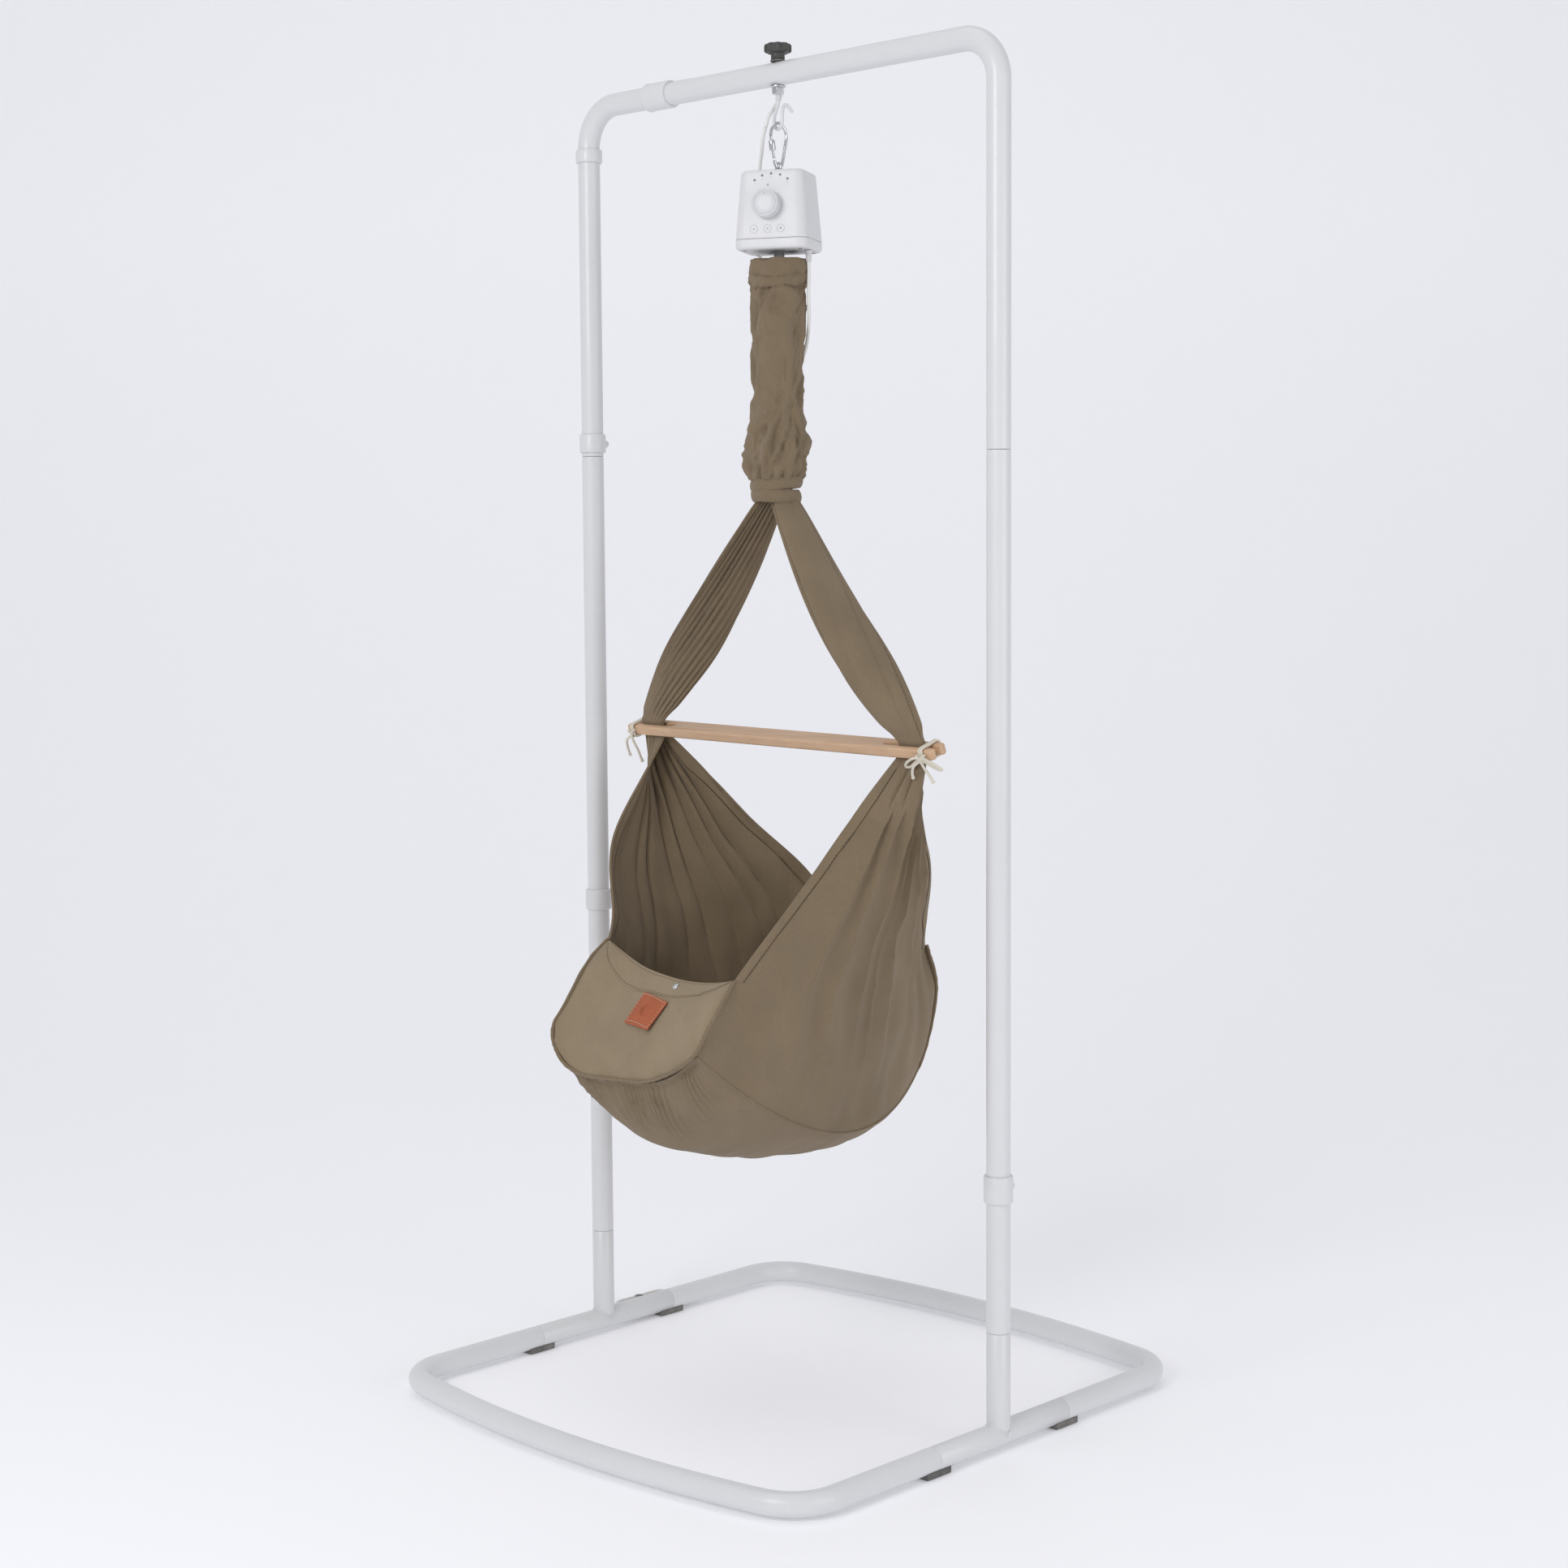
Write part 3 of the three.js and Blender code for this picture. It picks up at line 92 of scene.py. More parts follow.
# ---- node helpers ----
def addNode(tree, kind, values=None, **settings):
    made = tree.nodes.new(kind)
    for key, value in settings.items():
        setattr(made, key, value)
    for key, value in (values or {}).items():
        if isinstance(value, bpy.types.NodeSocket):
            tree.links.new(value, made.inputs[key])
        else:
            made.inputs[key].default_value = value
    return made


def addMath(tree, operation, a, b=0.0):
    return addNode(tree, "ShaderNodeMath", {0: a, 1: b}, operation=operation).outputs[0]


def addMix(tree, factor, a, b, blend="MIX"):
    made = addNode(tree, "ShaderNodeMix", {"Factor": factor}, data_type="RGBA", blend_type=blend)
    for socket, value in ((made.inputs[6], a), (made.inputs[7], b)):
        if isinstance(value, bpy.types.NodeSocket):
            tree.links.new(value, socket)
        else:
            socket.default_value = value
    return made.outputs[2]


def addNoise(tree, vector, scale, detail=3.0, rough=0.5):
    return addNode(tree, "ShaderNodeTexNoise", {
        "Vector": vector, "Scale": scale, "Detail": detail, "Roughness": rough}).outputs["Fac"]


def newGroup(name, inputs, outputs):
    tree = bpy.data.node_groups.new(name, "ShaderNodeTree")
    for label, kind, value in inputs:
        socket = tree.interface.new_socket(label, in_out="INPUT", socket_type=kind)
        socket.default_value = value
    for label, kind in outputs:
        tree.interface.new_socket(label, in_out="OUTPUT", socket_type=kind)
    return tree, tree.nodes.new("NodeGroupInput").outputs, tree.nodes.new("NodeGroupOutput").inputs


colourIn, valueIn = "NodeSocketColor", "NodeSocketFloat"
surfaceOut = [("Colour", colourIn), ("Roughness", valueIn), ("Height", valueIn)]


def clothGroup():
    # plain weave: two sets of threads crossing, with painted shade in the gaps between them, a slow
    # mottle and soft rubbed highlights from varying roughness
    tree, given, out = newGroup("clothSurface", [
        ("Thread", colourIn, (0.2, 0.16, 0.11, 1)), ("Shade between threads", colourIn, (0.1, 0.08, 0.05, 1)),
        ("Threads per metre", valueIn, 900.0), ("Mottle", valueIn, 0.3)], surfaceOut)
    where = addNode(tree, "ShaderNodeTexCoord").outputs["Object"]
    apart = addNode(tree, "ShaderNodeSeparateXYZ", {0: where})
    level = addMath(tree, "ADD", apart.outputs["X"], apart.outputs["Y"])
    turns = addMath(tree, "MULTIPLY", given["Threads per metre"], 2 * math.pi)
    warp = addMath(tree, "SINE", addMath(tree, "MULTIPLY", level, turns))
    weft = addMath(tree, "SINE", addMath(tree, "MULTIPLY", apart.outputs["Z"], turns))
    crossed = addMath(tree, "MULTIPLY", warp, weft)
    weave = addMath(tree, "ADD", addMath(tree, "MULTIPLY", crossed, 0.5), 0.5)
    slub = addNoise(tree, where, 420.0, 2.0)
    cloudy = addNoise(tree, where, 14.0, 4.0)
    creased = addNoise(tree, where, 46.0, 5.0, 0.6)
    share = addMath(tree, "ADD", addMath(tree, "MULTIPLY", weave, 0.55),
                    addMath(tree, "MULTIPLY", slub, 0.5))
    # the second colour, mixed in where the threads part, is painted shade: the gaps are darker only
    # because shade falls in them
    colour = addMix(tree, share, given["Shade between threads"], given["Thread"])
    shade = addMath(tree, "ADD", 1.0, addMath(
        tree, "MULTIPLY", addMath(tree, "SUBTRACT", cloudy, 0.5), given["Mottle"]))
    shaded = addNode(tree, "ShaderNodeCombineColor", {0: shade, 1: shade, 2: shade}).outputs[0]
    tree.links.new(addMix(tree, 1.0, colour, shaded, "MULTIPLY"), out["Colour"])
    tree.links.new(addMath(tree, "ADD", 0.8, addMath(tree, "MULTIPLY", slub, 0.25)), out["Roughness"])
    fine = addMath(tree, "ADD", addMath(tree, "MULTIPLY", weave, 0.35),
                   addMath(tree, "MULTIPLY", slub, 0.25))
    tree.links.new(addMath(tree, "ADD", fine, addMath(tree, "MULTIPLY", creased, 2.4)), out["Height"])
    return tree


def coatGroup():
    # powder coat and moulded plastic: orange peel, faint clouding and handling marks
    tree, given, out = newGroup("coatSurface", [
        ("Base", colourIn, (0.8, 0.8, 0.8, 1)), ("Grain per metre", valueIn, 900.0),
        ("Gloss", valueIn, 0.4), ("Dust", valueIn, 0.06)], surfaceOut)
    where = addNode(tree, "ShaderNodeTexCoord").outputs["Object"]
    peel = addNoise(tree, where, given["Grain per metre"], 2.0)
    cloudy = addNoise(tree, where, 9.0, 4.0)
    smudge = addNoise(tree, where, 60.0, 4.0, 0.65)
    dusty = addMath(tree, "MULTIPLY", addMath(tree, "MULTIPLY", cloudy, smudge), given["Dust"])
    colour = addMix(tree, addMath(tree, "MULTIPLY", dusty, 4.0), given["Base"], (0.46, 0.44, 0.4, 1))
    tree.links.new(colour, out["Colour"])
    rough = addMath(tree, "ADD", given["Gloss"], addMath(tree, "MULTIPLY", smudge, 0.14))
    tree.links.new(rough, out["Roughness"])
    tree.links.new(peel, out["Height"])
    return tree


def metalGroup():
    # plated wire: fine drawn lines and small rubbed spots
    tree, given, out = newGroup("metalSurface", [
        ("Base", colourIn, (0.7, 0.7, 0.7, 1)), ("Gloss", valueIn, 0.15)], surfaceOut)
    where = addNode(tree, "ShaderNodeTexCoord").outputs["Object"]
    spots = addNoise(tree, where, 240.0, 4.0, 0.7)
    lines = addNoise(tree, addNode(tree, "ShaderNodeMapping", {
        "Vector": where, "Scale": (2200.0, 2200.0, 130.0)}).outputs[0], 1.0, 2.0)
    tree.links.new(addMix(tree, addMath(tree, "MULTIPLY", spots, 0.3), given["Base"],
                          (0.42, 0.42, 0.43, 1)), out["Colour"])
    tree.links.new(addMath(tree, "ADD", given["Gloss"], addMath(tree, "MULTIPLY", spots, 0.16)),
                   out["Roughness"])
    tree.links.new(lines, out["Height"])
    return tree


def woodGroup():
    # beech: long fine grain along the bar, with the small dark flecks that the timber has
    tree, given, out = newGroup("woodSurface", [
        ("Light", colourIn, (0.7, 0.5, 0.33, 1)), ("Dark", colourIn, (0.5, 0.32, 0.2, 1))], surfaceOut)
    where = addNode(tree, "ShaderNodeTexCoord").outputs["Object"]
    long = addNode(tree, "ShaderNodeMapping", {"Vector": where, "Scale": (7.0, 160.0, 190.0)}).outputs[0]
    short = addNode(tree, "ShaderNodeMapping",
                    {"Vector": where, "Scale": (90.0, 900.0, 900.0)}).outputs[0]
    grain = addNoise(tree, long, 1.0, 5.0, 0.6)
    fleck = addNoise(tree, short, 1.0, 2.0)
    marks = addNode(tree, "ShaderNodeMapRange", {
        "Value": fleck, "From Min": 0.6, "From Max": 0.72, "To Min": 0.0, "To Max": 0.55}).outputs[0]
    colour = addMix(tree, grain, given["Light"], given["Dark"])
    tree.links.new(addMix(tree, marks, colour, given["Dark"]), out["Colour"])
    tree.links.new(addMath(tree, "ADD", 0.42, addMath(tree, "MULTIPLY", grain, 0.2)), out["Roughness"])
    tree.links.new(addMath(tree, "SUBTRACT", grain, marks), out["Height"])
    return tree


def leatherGroup():
    # tanned hide: cell-like pores, creases and a darker burnished patchiness
    tree, given, out = newGroup("leatherSurface", [
        ("Base", colourIn, (0.5, 0.2, 0.08, 1)), ("Dark", colourIn, (0.2, 0.08, 0.03, 1))], surfaceOut)
    where = addNode(tree, "ShaderNodeTexCoord").outputs["Object"]
    pores = addNode(tree, "ShaderNodeTexVoronoi", {"Vector": where, "Scale": 900.0}).outputs["Distance"]
    patches = addNoise(tree, where, 70.0, 5.0, 0.65)
    share = addMath(tree, "MULTIPLY", patches, 0.6)
    tree.links.new(addMix(tree, share, given["Base"], given["Dark"]), out["Colour"])
    tree.links.new(addMath(tree, "ADD", 0.5, addMath(tree, "MULTIPLY", patches, 0.25)), out["Roughness"])
    tree.links.new(addMath(tree, "ADD", pores, patches), out["Height"])
    return tree


groups = dict(cloth=clothGroup(), coat=coatGroup(), metal=metalGroup(), wood=woodGroup(),
              leather=leatherGroup())


def finish(name, group, values, bump, depth, metal=0.0, sheen=0.0, coat=0.0):
    made = bpy.data.materials.new(name)
    made.use_nodes = True
    tree = made.node_tree
    shader = tree.nodes["Principled BSDF"]
    box = addNode(tree, "ShaderNodeGroup", node_tree=groups[group])
    for key, value in values.items():
        box.inputs[key].default_value = value
    lift = addNode(tree, "ShaderNodeBump", {"Height": box.outputs["Height"], "Strength": bump,
                                            "Distance": depth * mm})
    tree.links.new(box.outputs["Colour"], shader.inputs["Base Color"])
    tree.links.new(box.outputs["Roughness"], shader.inputs["Roughness"])
    tree.links.new(lift.outputs[0], shader.inputs["Normal"])
    shader.inputs["Metallic"].default_value = metal
    shader.inputs["Sheen Weight"].default_value = sheen
    shader.inputs["Sheen Roughness"].default_value = 0.5
    shader.inputs["Coat Weight"].default_value = coat
    return made


def rgb(r, g, b):
    # 0 to 255 screen values, as seen on a chart, turned into scene colour
    return tuple(((c / 255 + 0.055) / 1.055) ** 2.4 if c > 10 else c / 3294 for c in (r, g, b)) + (1.0,)


finishes = dict(
    whiteSteel=finish("whiteSteel", "coat", {
        "Base": rgb(221, 222, 224), "Grain per metre": 700.0, "Gloss": 0.3, "Dust": 0.05}, 0.12, 0.3,
        coat=0.15),
    whitePlastic=finish("whitePlastic", "coat", {
        "Base": rgb(222, 222, 224), "Grain per metre": 1600.0, "Gloss": 0.38, "Dust": 0.05}, 0.18, 0.2),
    dialPlastic=finish("dialPlastic", "coat", {
        "Base": rgb(214, 215, 218), "Grain per metre": 1900.0, "Gloss": 0.3, "Dust": 0.05}, 0.15, 0.2),
    blackPlastic=finish("blackPlastic", "coat", {
        "Base": rgb(34, 34, 36), "Grain per metre": 1500.0, "Gloss": 0.36, "Dust": 0.1}, 0.3, 0.3),
    darkRubber=finish("darkRubber", "coat", {
        "Base": rgb(52, 52, 55), "Grain per metre": 1200.0, "Gloss": 0.7, "Dust": 0.3}, 0.5, 0.4),
    chrome=finish("chrome", "metal", {"Base": rgb(214, 216, 220), "Gloss": 0.1}, 0.05, 0.1, metal=1.0),
    greyMetal=finish("greyMetal", "metal", {"Base": rgb(160, 161, 164), "Gloss": 0.3}, 0.1, 0.1,
                     metal=1.0),
    # in each cloth finish the second colour is painted shade for the gaps between the threads
    taupeCotton=finish("taupeCotton", "cloth", {
        "Thread": rgb(150, 131, 105), "Shade between threads": rgb(112, 96, 74), "Mottle": 0.34}, 0.75, 1.3, sheen=0.1),
    lightCotton=finish("lightCotton", "cloth", {
        "Thread": rgb(168, 150, 123), "Shade between threads": rgb(130, 114, 89), "Mottle": 0.3}, 0.7, 1.2, sheen=0.1),
    padCotton=finish("padCotton", "cloth", {
        "Thread": rgb(222, 214, 199), "Shade between threads": rgb(190, 180, 163), "Mottle": 0.18}, 0.4, 0.7,
        sheen=0.2),
    cottonCord=finish("cottonCord", "cloth", {
        "Thread": rgb(235, 229, 216), "Shade between threads": rgb(196, 188, 171), "Threads per metre": 700.0,
        "Mottle": 0.25}, 0.6, 0.6, sheen=0.2),
    greyWebbing=finish("greyWebbing", "cloth", {
        "Thread": rgb(206, 206, 204), "Shade between threads": rgb(158, 158, 157), "Threads per metre": 620.0,
        "Mottle": 0.15}, 0.7, 0.5),
    # the thread colour is kept dark so that stitch rows read as dark lines: partly the thread's own
    # colour, partly painted shade of the stitch line; the same finish colours the painted shadow lines
    # along the hems
    threadAndShade=finish("threadAndShade", "cloth", {
        "Thread": rgb(88, 75, 57), "Shade between threads": rgb(66, 56, 42), "Threads per metre": 1800.0,
        "Mottle": 0.1}, 0.3, 0.2),
    beech=finish("beech", "wood", {"Light": rgb(222, 190, 158), "Dark": rgb(188, 150, 116)}, 0.2, 0.25,
                 coat=0.08),
    leather=finish("leather", "leather", {"Base": rgb(182, 97, 58), "Dark": rgb(136, 68, 38)}, 0.5, 0.35),
    whiteLead=finish("whiteLead", "coat", {
        "Base": rgb(233, 233, 230), "Grain per metre": 500.0, "Gloss": 0.42, "Dust": 0.08}, 0.08, 0.2),
    lightGuide=finish("lightGuide", "coat", {
        "Base": rgb(120, 128, 122), "Grain per metre": 900.0, "Gloss": 0.12, "Dust": 0.05}, 0.05,
        0.1, coat=0.5),
    print=finish("print", "coat", {
        "Base": rgb(172, 173, 173), "Grain per metre": 2000.0, "Gloss": 0.5, "Dust": 0.1}, 0.1, 0.1),
    board=finish("board", "coat", {
        "Base": rgb(40, 104, 66), "Grain per metre": 800.0, "Gloss": 0.25, "Dust": 0.1}, 0.2,
        0.2, coat=0.4),
    studioFloor=finish("studioFloor", "coat", {
        "Base": rgb(244, 244, 247), "Grain per metre": 120.0, "Gloss": 0.6, "Dust": 0.01}, 0.05, 0.2),
)
print("finishes made:", len(finishes))


# ---- mesh helpers ----
def makePiece(name, shape, look, body, nodes=(), bevel=0.0, sharp=35.0):
    points, faces = shape
    mesh = bpy.data.meshes.new(name)
    mesh.from_pydata([tuple(p) for p in points], [], [tuple(f) for f in faces])
    made = bmesh.new()
    made.from_mesh(mesh)
    bmesh.ops.remove_doubles(made, verts=made.verts, dist=1e-6)
    bmesh.ops.recalc_face_normals(made, faces=made.faces)
    made.to_mesh(mesh)
    made.free()
    mesh.shade_smooth()
    mesh.set_sharp_from_angle(angle=math.radians(sharp))
    obj = bpy.data.objects.new(name, mesh)
    bpy.context.scene.collection.objects.link(obj)
    mesh.materials.append(finishes[look])
    if bevel:
        cut = obj.modifiers.new("roundedEdges", "BEVEL")
        cut.width = bevel * mm
        cut.segments = 3
        cut.limit_method = "ANGLE"
        cut.angle_limit = math.radians(38)
        cut.harden_normals = True
    if body:
        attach(obj, body)
    if nodes:
        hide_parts(*nodes)
    return obj


def joinShapes(*shapes):
    points, faces = [], []
    for shapePoints, shapeFaces in shapes:
        start = len(points)
        points += list(shapePoints)
        faces += [tuple(i + start for i in face) for face in shapeFaces]
    return points, faces


def placed(shape, matrix):
    turn = np.array(matrix.to_3x3())
    move = np.array(matrix.to_translation())
    return [turn @ np.array(p) + move for p in shape[0]], shape[1]


def ringSkin(rings, closed=False, capped=True):
    count = len(rings[0])
    points = [p for ring in rings for p in ring]
    faces = []
    spans = len(rings) if closed else len(rings) - 1
    for i in range(spans):
        for j in range(count):
            a, b = i * count, (i + 1) % len(rings) * count
            k = (j + 1) % count
            faces.append((a + j, a + k, b + k, b + j))
    if capped and not closed:
        for end in (0, len(rings) - 1):
            middle = len(points)
            points.append(sum(rings[end]) / count)
            for j in range(count):
                faces.append((middle, end * count + j, end * count + (j + 1) % count))
    return points, faces


def frames(line, closed=False):
    # a steady cross direction carried along the line, so that a swept section doesn't spin
    line = [np.array(p, float) for p in line]
    count = len(line)
    ways = []
    for i in range(count):
        before = line[i - 1] if closed or i > 0 else line[i]
        after = line[(i + 1) % count] if closed or i < count - 1 else line[i]
        ways.append(unit(after - before))
    start = np.array((0, 0, 1.0)) if abs(ways[0][2]) < 0.9 else np.array((1.0, 0, 0))
    side = unit(np.cross(ways[0], start))
    sides = []
    for way in ways:
        side = unit(side - way * (side @ way))
        sides.append(side)
    return line, ways, sides


def sweep(line, radius, sides=20, closed=False, flatten=1.0):
    line, ways, across = frames(line, closed)
    rings = []
    for i, (point, way, side) in enumerate(zip(line, ways, across)):
        up = np.cross(side, way)
        r = radius(i / (len(line) - 1)) if callable(radius) else radius
        rings.append([point + mm * r * (side * math.cos(a) + up * flatten * math.sin(a))
                      for a in (2 * math.pi * k / sides for k in range(sides))])
    return ringSkin(rings, closed)


def lathe(profile, sides=48, lobes=None):
    rings = []
    for r, z in profile:
        ring = []
        for k in range(sides):
            a = 2 * math.pi * k / sides
            wide = r * (lobes(a, z) if lobes else 1.0)
            ring.append(at(wide * math.cos(a), wide * math.sin(a), z))
        rings.append(ring)
    onAxis = profile[0][0] == 0 and profile[-1][0] == 0
    return ringSkin(rings, closed=not onAxis, capped=False)


def smoothCurve(points, closed=False):
    # a curve through the points that neither loops nor overshoots
    points = [np.array(p, float) for p in points]
    count = len(points)

    def place(t):
        run = (count if closed else count - 1) * t
        i = min(int(run), count - 1 if closed else count - 2)
        w = run - i
        p1, p2 = points[i % count], points[(i + 1) % count]
        p0 = points[(i - 1) % count] if closed or i > 0 else 2 * p1 - p2
        p3 = points[(i + 2) % count] if closed or i + 2 < count else 2 * p2 - p1
        d0, d1, d2 = (max(1e-7, np.linalg.norm(b - a)) ** 0.5 for a, b in ((p0, p1), (p1, p2), (p2, p3)))
        m1 = ((p1 - p0) / d0 - (p2 - p0) / (d0 + d1) + (p2 - p1) / d1) * d1
        m2 = ((p2 - p1) / d1 - (p3 - p1) / (d1 + d2) + (p3 - p2) / d2) * d1
        return (p1 + m1 * w + (3 * (p2 - p1) - 2 * m1 - m2) * w ** 2
                + (2 * (p1 - p2) + m1 + m2) * w ** 3)

    return place


def sampled(curve, count, closed=False):
    return [curve(i / (count if closed else count - 1)) for i in range(count)]


def bendPoints(start, corner, end, radius, steps=14):
    # the round bend that takes a tube from one straight run to the next
    start, corner, end = (np.array(p, float) for p in (start, corner, end))
    wayIn, wayOut = unit(corner - start), unit(end - corner)
    turn = math.acos(float(wayIn @ wayOut))
    reach = radius * mm * math.tan(turn / 2)
    side = unit(wayOut - wayIn * (wayOut @ wayIn))
    first = corner - wayIn * reach
    return [first + radius * mm * (wayIn * math.sin(turn * k / steps) + side
                                   * (1 - math.cos(turn * k / steps))) for k in range(steps + 1)]


def clothGrid(surface, columns, rows, thickness, us=(0.0, 1.0), vs=(0.0, 1.0)):
    # a thin closed sheet with its middle on surface(u, v); us and vs may be functions of the other
    points = np.zeros((columns + 1, rows + 1, 3))
    for j in range(rows + 1):
        v = vs[0] + (vs[1] - vs[0]) * j / rows
        low, high = us(v) if callable(us) else us
        for i in range(columns + 1):
            points[i, j] = surface(low + (high - low) * i / columns, v)
    du = np.gradient(points, axis=0)
    dv = np.gradient(points, axis=1)
    normal = np.cross(du, dv)
    size = np.linalg.norm(normal, axis=2, keepdims=True)
    normal = normal / np.maximum(size, 1e-12)
    half = thickness * mm / 2
    outer = (points + normal * half).reshape(-1, 3)
    inner = (points - normal * half).reshape(-1, 3)
    total = (columns + 1) * (rows + 1)
    index = lambda i, j: i * (rows + 1) + j
    faces = []
    for i in range(columns):
        for j in range(rows):
            quad = (index(i, j), index(i + 1, j), index(i + 1, j + 1), index(i, j + 1))
            faces.append(quad)
            faces.append(tuple(k + total for k in reversed(quad)))
    edge = ([index(i, 0) for i in range(columns)] + [index(columns, j) for j in range(rows)]
            + [index(i, rows) for i in range(columns, 0, -1)] + [index(0, j) for j in range(rows, 0, -1)])
    for k, a in enumerate(edge):
        b = edge[(k + 1) % len(edge)]
        faces.append((b, a, a + total, b + total))
    return list(outer) + list(inner), faces


def stitches(line, lift, length=2.6, pitch=4.2, width=0.8):
    # a row of raised thread dashes along a line; lift is the way out of the cloth at each point
    shapes = []
    run = 0.0
    for i in range(1, len(line)):
        a, b = line[i - 1], line[i]
        step = np.linalg.norm(b - a)
        run += step
        if run < pitch * mm:
            continue
        run = 0.0
        way = unit(b - a)
        out = unit(lift[i])
        side = unit(np.cross(way, out))
        rings = []
        for along, share in ((-0.5, 0.35), (-0.3, 1.0), (0.3, 1.0), (0.5, 0.35)):
            centre = b + way * length * mm * along + out * 0.15 * mm * share
            rings.append([centre + mm * width / 2 * share * (side * math.cos(t) + out * math.sin(t))
                          for t in (2 * math.pi * k / 6 for k in range(6))])
        shapes.append(ringSkin(rings))
    return joinShapes(*shapes)


def wrinkle(p, scale, seed):
    return noise.noise(Vector((p[0] * scale + seed, p[1] * scale - seed, p[2] * scale + 2 * seed)))


# ---- leads ----
lead = dict(
    diameter=5.0,
    motorRoute=[
        (41.9, 14.6, 1579.4), (41.9, 14.9, 1565), (40, 16, 1535), (33, 24, 1500), (16, 36, 1468),
        (-5, 45, 1446),
        (-26, 46, 1436), (-43, 38, 1438), (-54, 30, 1452), (-60, 26, 1480), (-62, 25, 1520),
        (-62, 25, 1570),
        (-61, 25, 1630), (-58, 22, 1680), (-48, 12, 1712), (-32, 0, 1735), (-20, -9, 1752),
        (-15.2, -9.8, 1763.6)],
    supplyRoute=[
        (-14.6, -9.6, 1764.5), (-12, -7, 1778), (-11, 4, 1792), (-12, 16, 1806), (-15, 21.5, 1822),
        (-22, 20, 1840),
        (-36, 15.2, 1850.5), (-62, 13.8, 1851.8), (-110, 13.8, 1851.8), (-160, 13.8, 1851.8),
        (-200, 15.6, 1854),
        (-232, 16, 1854.5), (-266, 15.2, 1853.5), (-310, 14, 1852), (-344, 14, 1850), (-376, 14, 1836),
        (-396, 14.5, 1812), (-404, 15, 1782), (-406, 15.5, 1755), (-403, 15, 1700), (-403, 15, 1600),
        (-403, 15, 1400), (-405, 16, 1348), (-403, 15, 1290), (-403, 15, 1100), (-403, 15, 900),
        (-403, 15, 700),
        (-405, 16, 666), (-403, 15, 630), (-403, 15, 450), (-403, 15, 250), (-404, 15, 120),
        (-405.5, 16, 74), (-407.5, 22, 46), (-408.3, 34, 27), (-408.5, 50, 19.8), (-408.5, 65.2, 18.3)],
    hankX=-424.0, hankStart=60.0, hankLength=110.0, hankWidth=36.0, hankTurns=3, layer=5.2,
    plugPlace=(-408.5, 165.7, 5.2),
)


def hankPoints():
    # the put-away length: flat turns stacked on each other, wound from the top one down to the plug
    half = lead["hankWidth"] / 2 - lead["diameter"] / 2
    near = lead["hankStart"] + lead["hankWidth"] / 2
    far = lead["hankStart"] + lead["hankLength"] - lead["hankWidth"] / 2
    low = lead["diameter"] / 2 + 0.2
    points = []
    for turn in range(lead["hankTurns"]):
        z = low + lead["layer"] * (lead["hankTurns"] - turn)
        points += [(half, near + (far - near) * k / 3, z) for k in range(3)]
        points += [(half * math.cos(a), far + half * math.sin(a), z) for a in np.linspace(0, math.pi, 9)]
        points += [(-half, far - (far - near) * k / 3, z) for k in (1, 2)]
        points += [(-half * math.cos(a), near - half * math.sin(a), z - lead["layer"] * a / math.pi)
                   for a in np.linspace(0, math.pi, 9)[:-1]]
    points += [(half, near, low), (half, near + (far - near) / 2, low), (half, far, low)]
    points = [(lead["hankX"] + x, y, z) for x, y, z in points]
    x, y, z = lead["plugPlace"]
    return points + [(x, y, z)]


def makeLeads():
    motorLine = sampled(smoothCurve([at(*p) for p in lead["motorRoute"]]), 170)
    hank = hankPoints()
    supplyLine = sampled(smoothCurve([at(*p) for p in lead["supplyRoute"] + hank]), 620)
    motorLead = makePiece("motorLead", sweep(motorLine, lead["diameter"] / 2, 12), "whiteLead", "motor",
                          ["motor_lead"], sharp=60)
    supplyLead = makePiece("supplyLead", sweep(supplyLine, lead["diameter"] / 2, 12), "whiteLead",
                           "stand", ["supply_lead", "lead_hank"], sharp=60)
    return motorLead, motorLine, supplyLead, supplyLine


def pathLength(line):
    return float(sum(np.linalg.norm(b - a) for a, b in zip(line, line[1:])))


print("leads drawn")


# ---- steel stand ----
stand = dict(
    tube=16.0, footHeight=4.0, legX=388.5, teeHalf=133.0, railY=378.0, crownY=452.0, railCorner=70.0,
    crossbarZ=1835.0, elbow=58.0, stubTop=158.0, barJointX=-232.0,
    leftJoints=(665.0, 1328.0, 1762.0), rightJoints=(350.0, 1312.0), gap=0.5, collar=19.5,
)
baseZ = stand["footHeight"] + stand["tube"]


def tubePiece(name, line, node, radius=None):
    # a tube with softly rounded cut ends
    radius = radius or stand["tube"]
    line = [np.array(p) for p in line]
    wayIn, wayOut = unit(line[1] - line[0]), unit(line[-1] - line[-2])
    trim = stand["gap"] * mm
    line = ([line[0] + wayIn * trim * k for k in (0.0, 0.4, 1.0, 4.0)] + line[1:-1]
            + [line[-1] - wayOut * trim * k for k in (4.0, 1.0, 0.4, 0.0)])

    def width(i):
        return radius * (1 - 0.035 * (i in (0, len(line) - 1)) - 0.008 * (i in (1, len(line) - 2)))

    count = len(line) - 1
    shape = sweep(line, lambda t: width(round(t * count)), 40)
    return makePiece(name, shape, "whiteSteel", "stand", [node], sharp=50)


def makeRails():
    x, half, z = stand["legX"], stand["teeHalf"], baseZ
    for name, side in (("baseFrontRail", -1), ("baseRearRail", 1)):
        left, right = at(-x, side * (half + 0.3), z), at(x, side * (half + 0.3), z)
        crown = at(0, side * stand["crownY"], z)
        first = bendPoints(left, at(-x, side * stand["railY"], z), crown, stand["railCorner"])
        second = bendPoints(crown, at(x, side * stand["railY"], z), right, stand["railCorner"])
        bow = [mixed(mixed(first[-1], crown, t), mixed(crown, second[0], t), t)
               for t in np.linspace(0, 1, 26)]
        node = "base_front_rail" if side < 0 else "base_rear_rail"
        tubePiece(name, [left] + first + bow[1:-1] + second + [right], node)


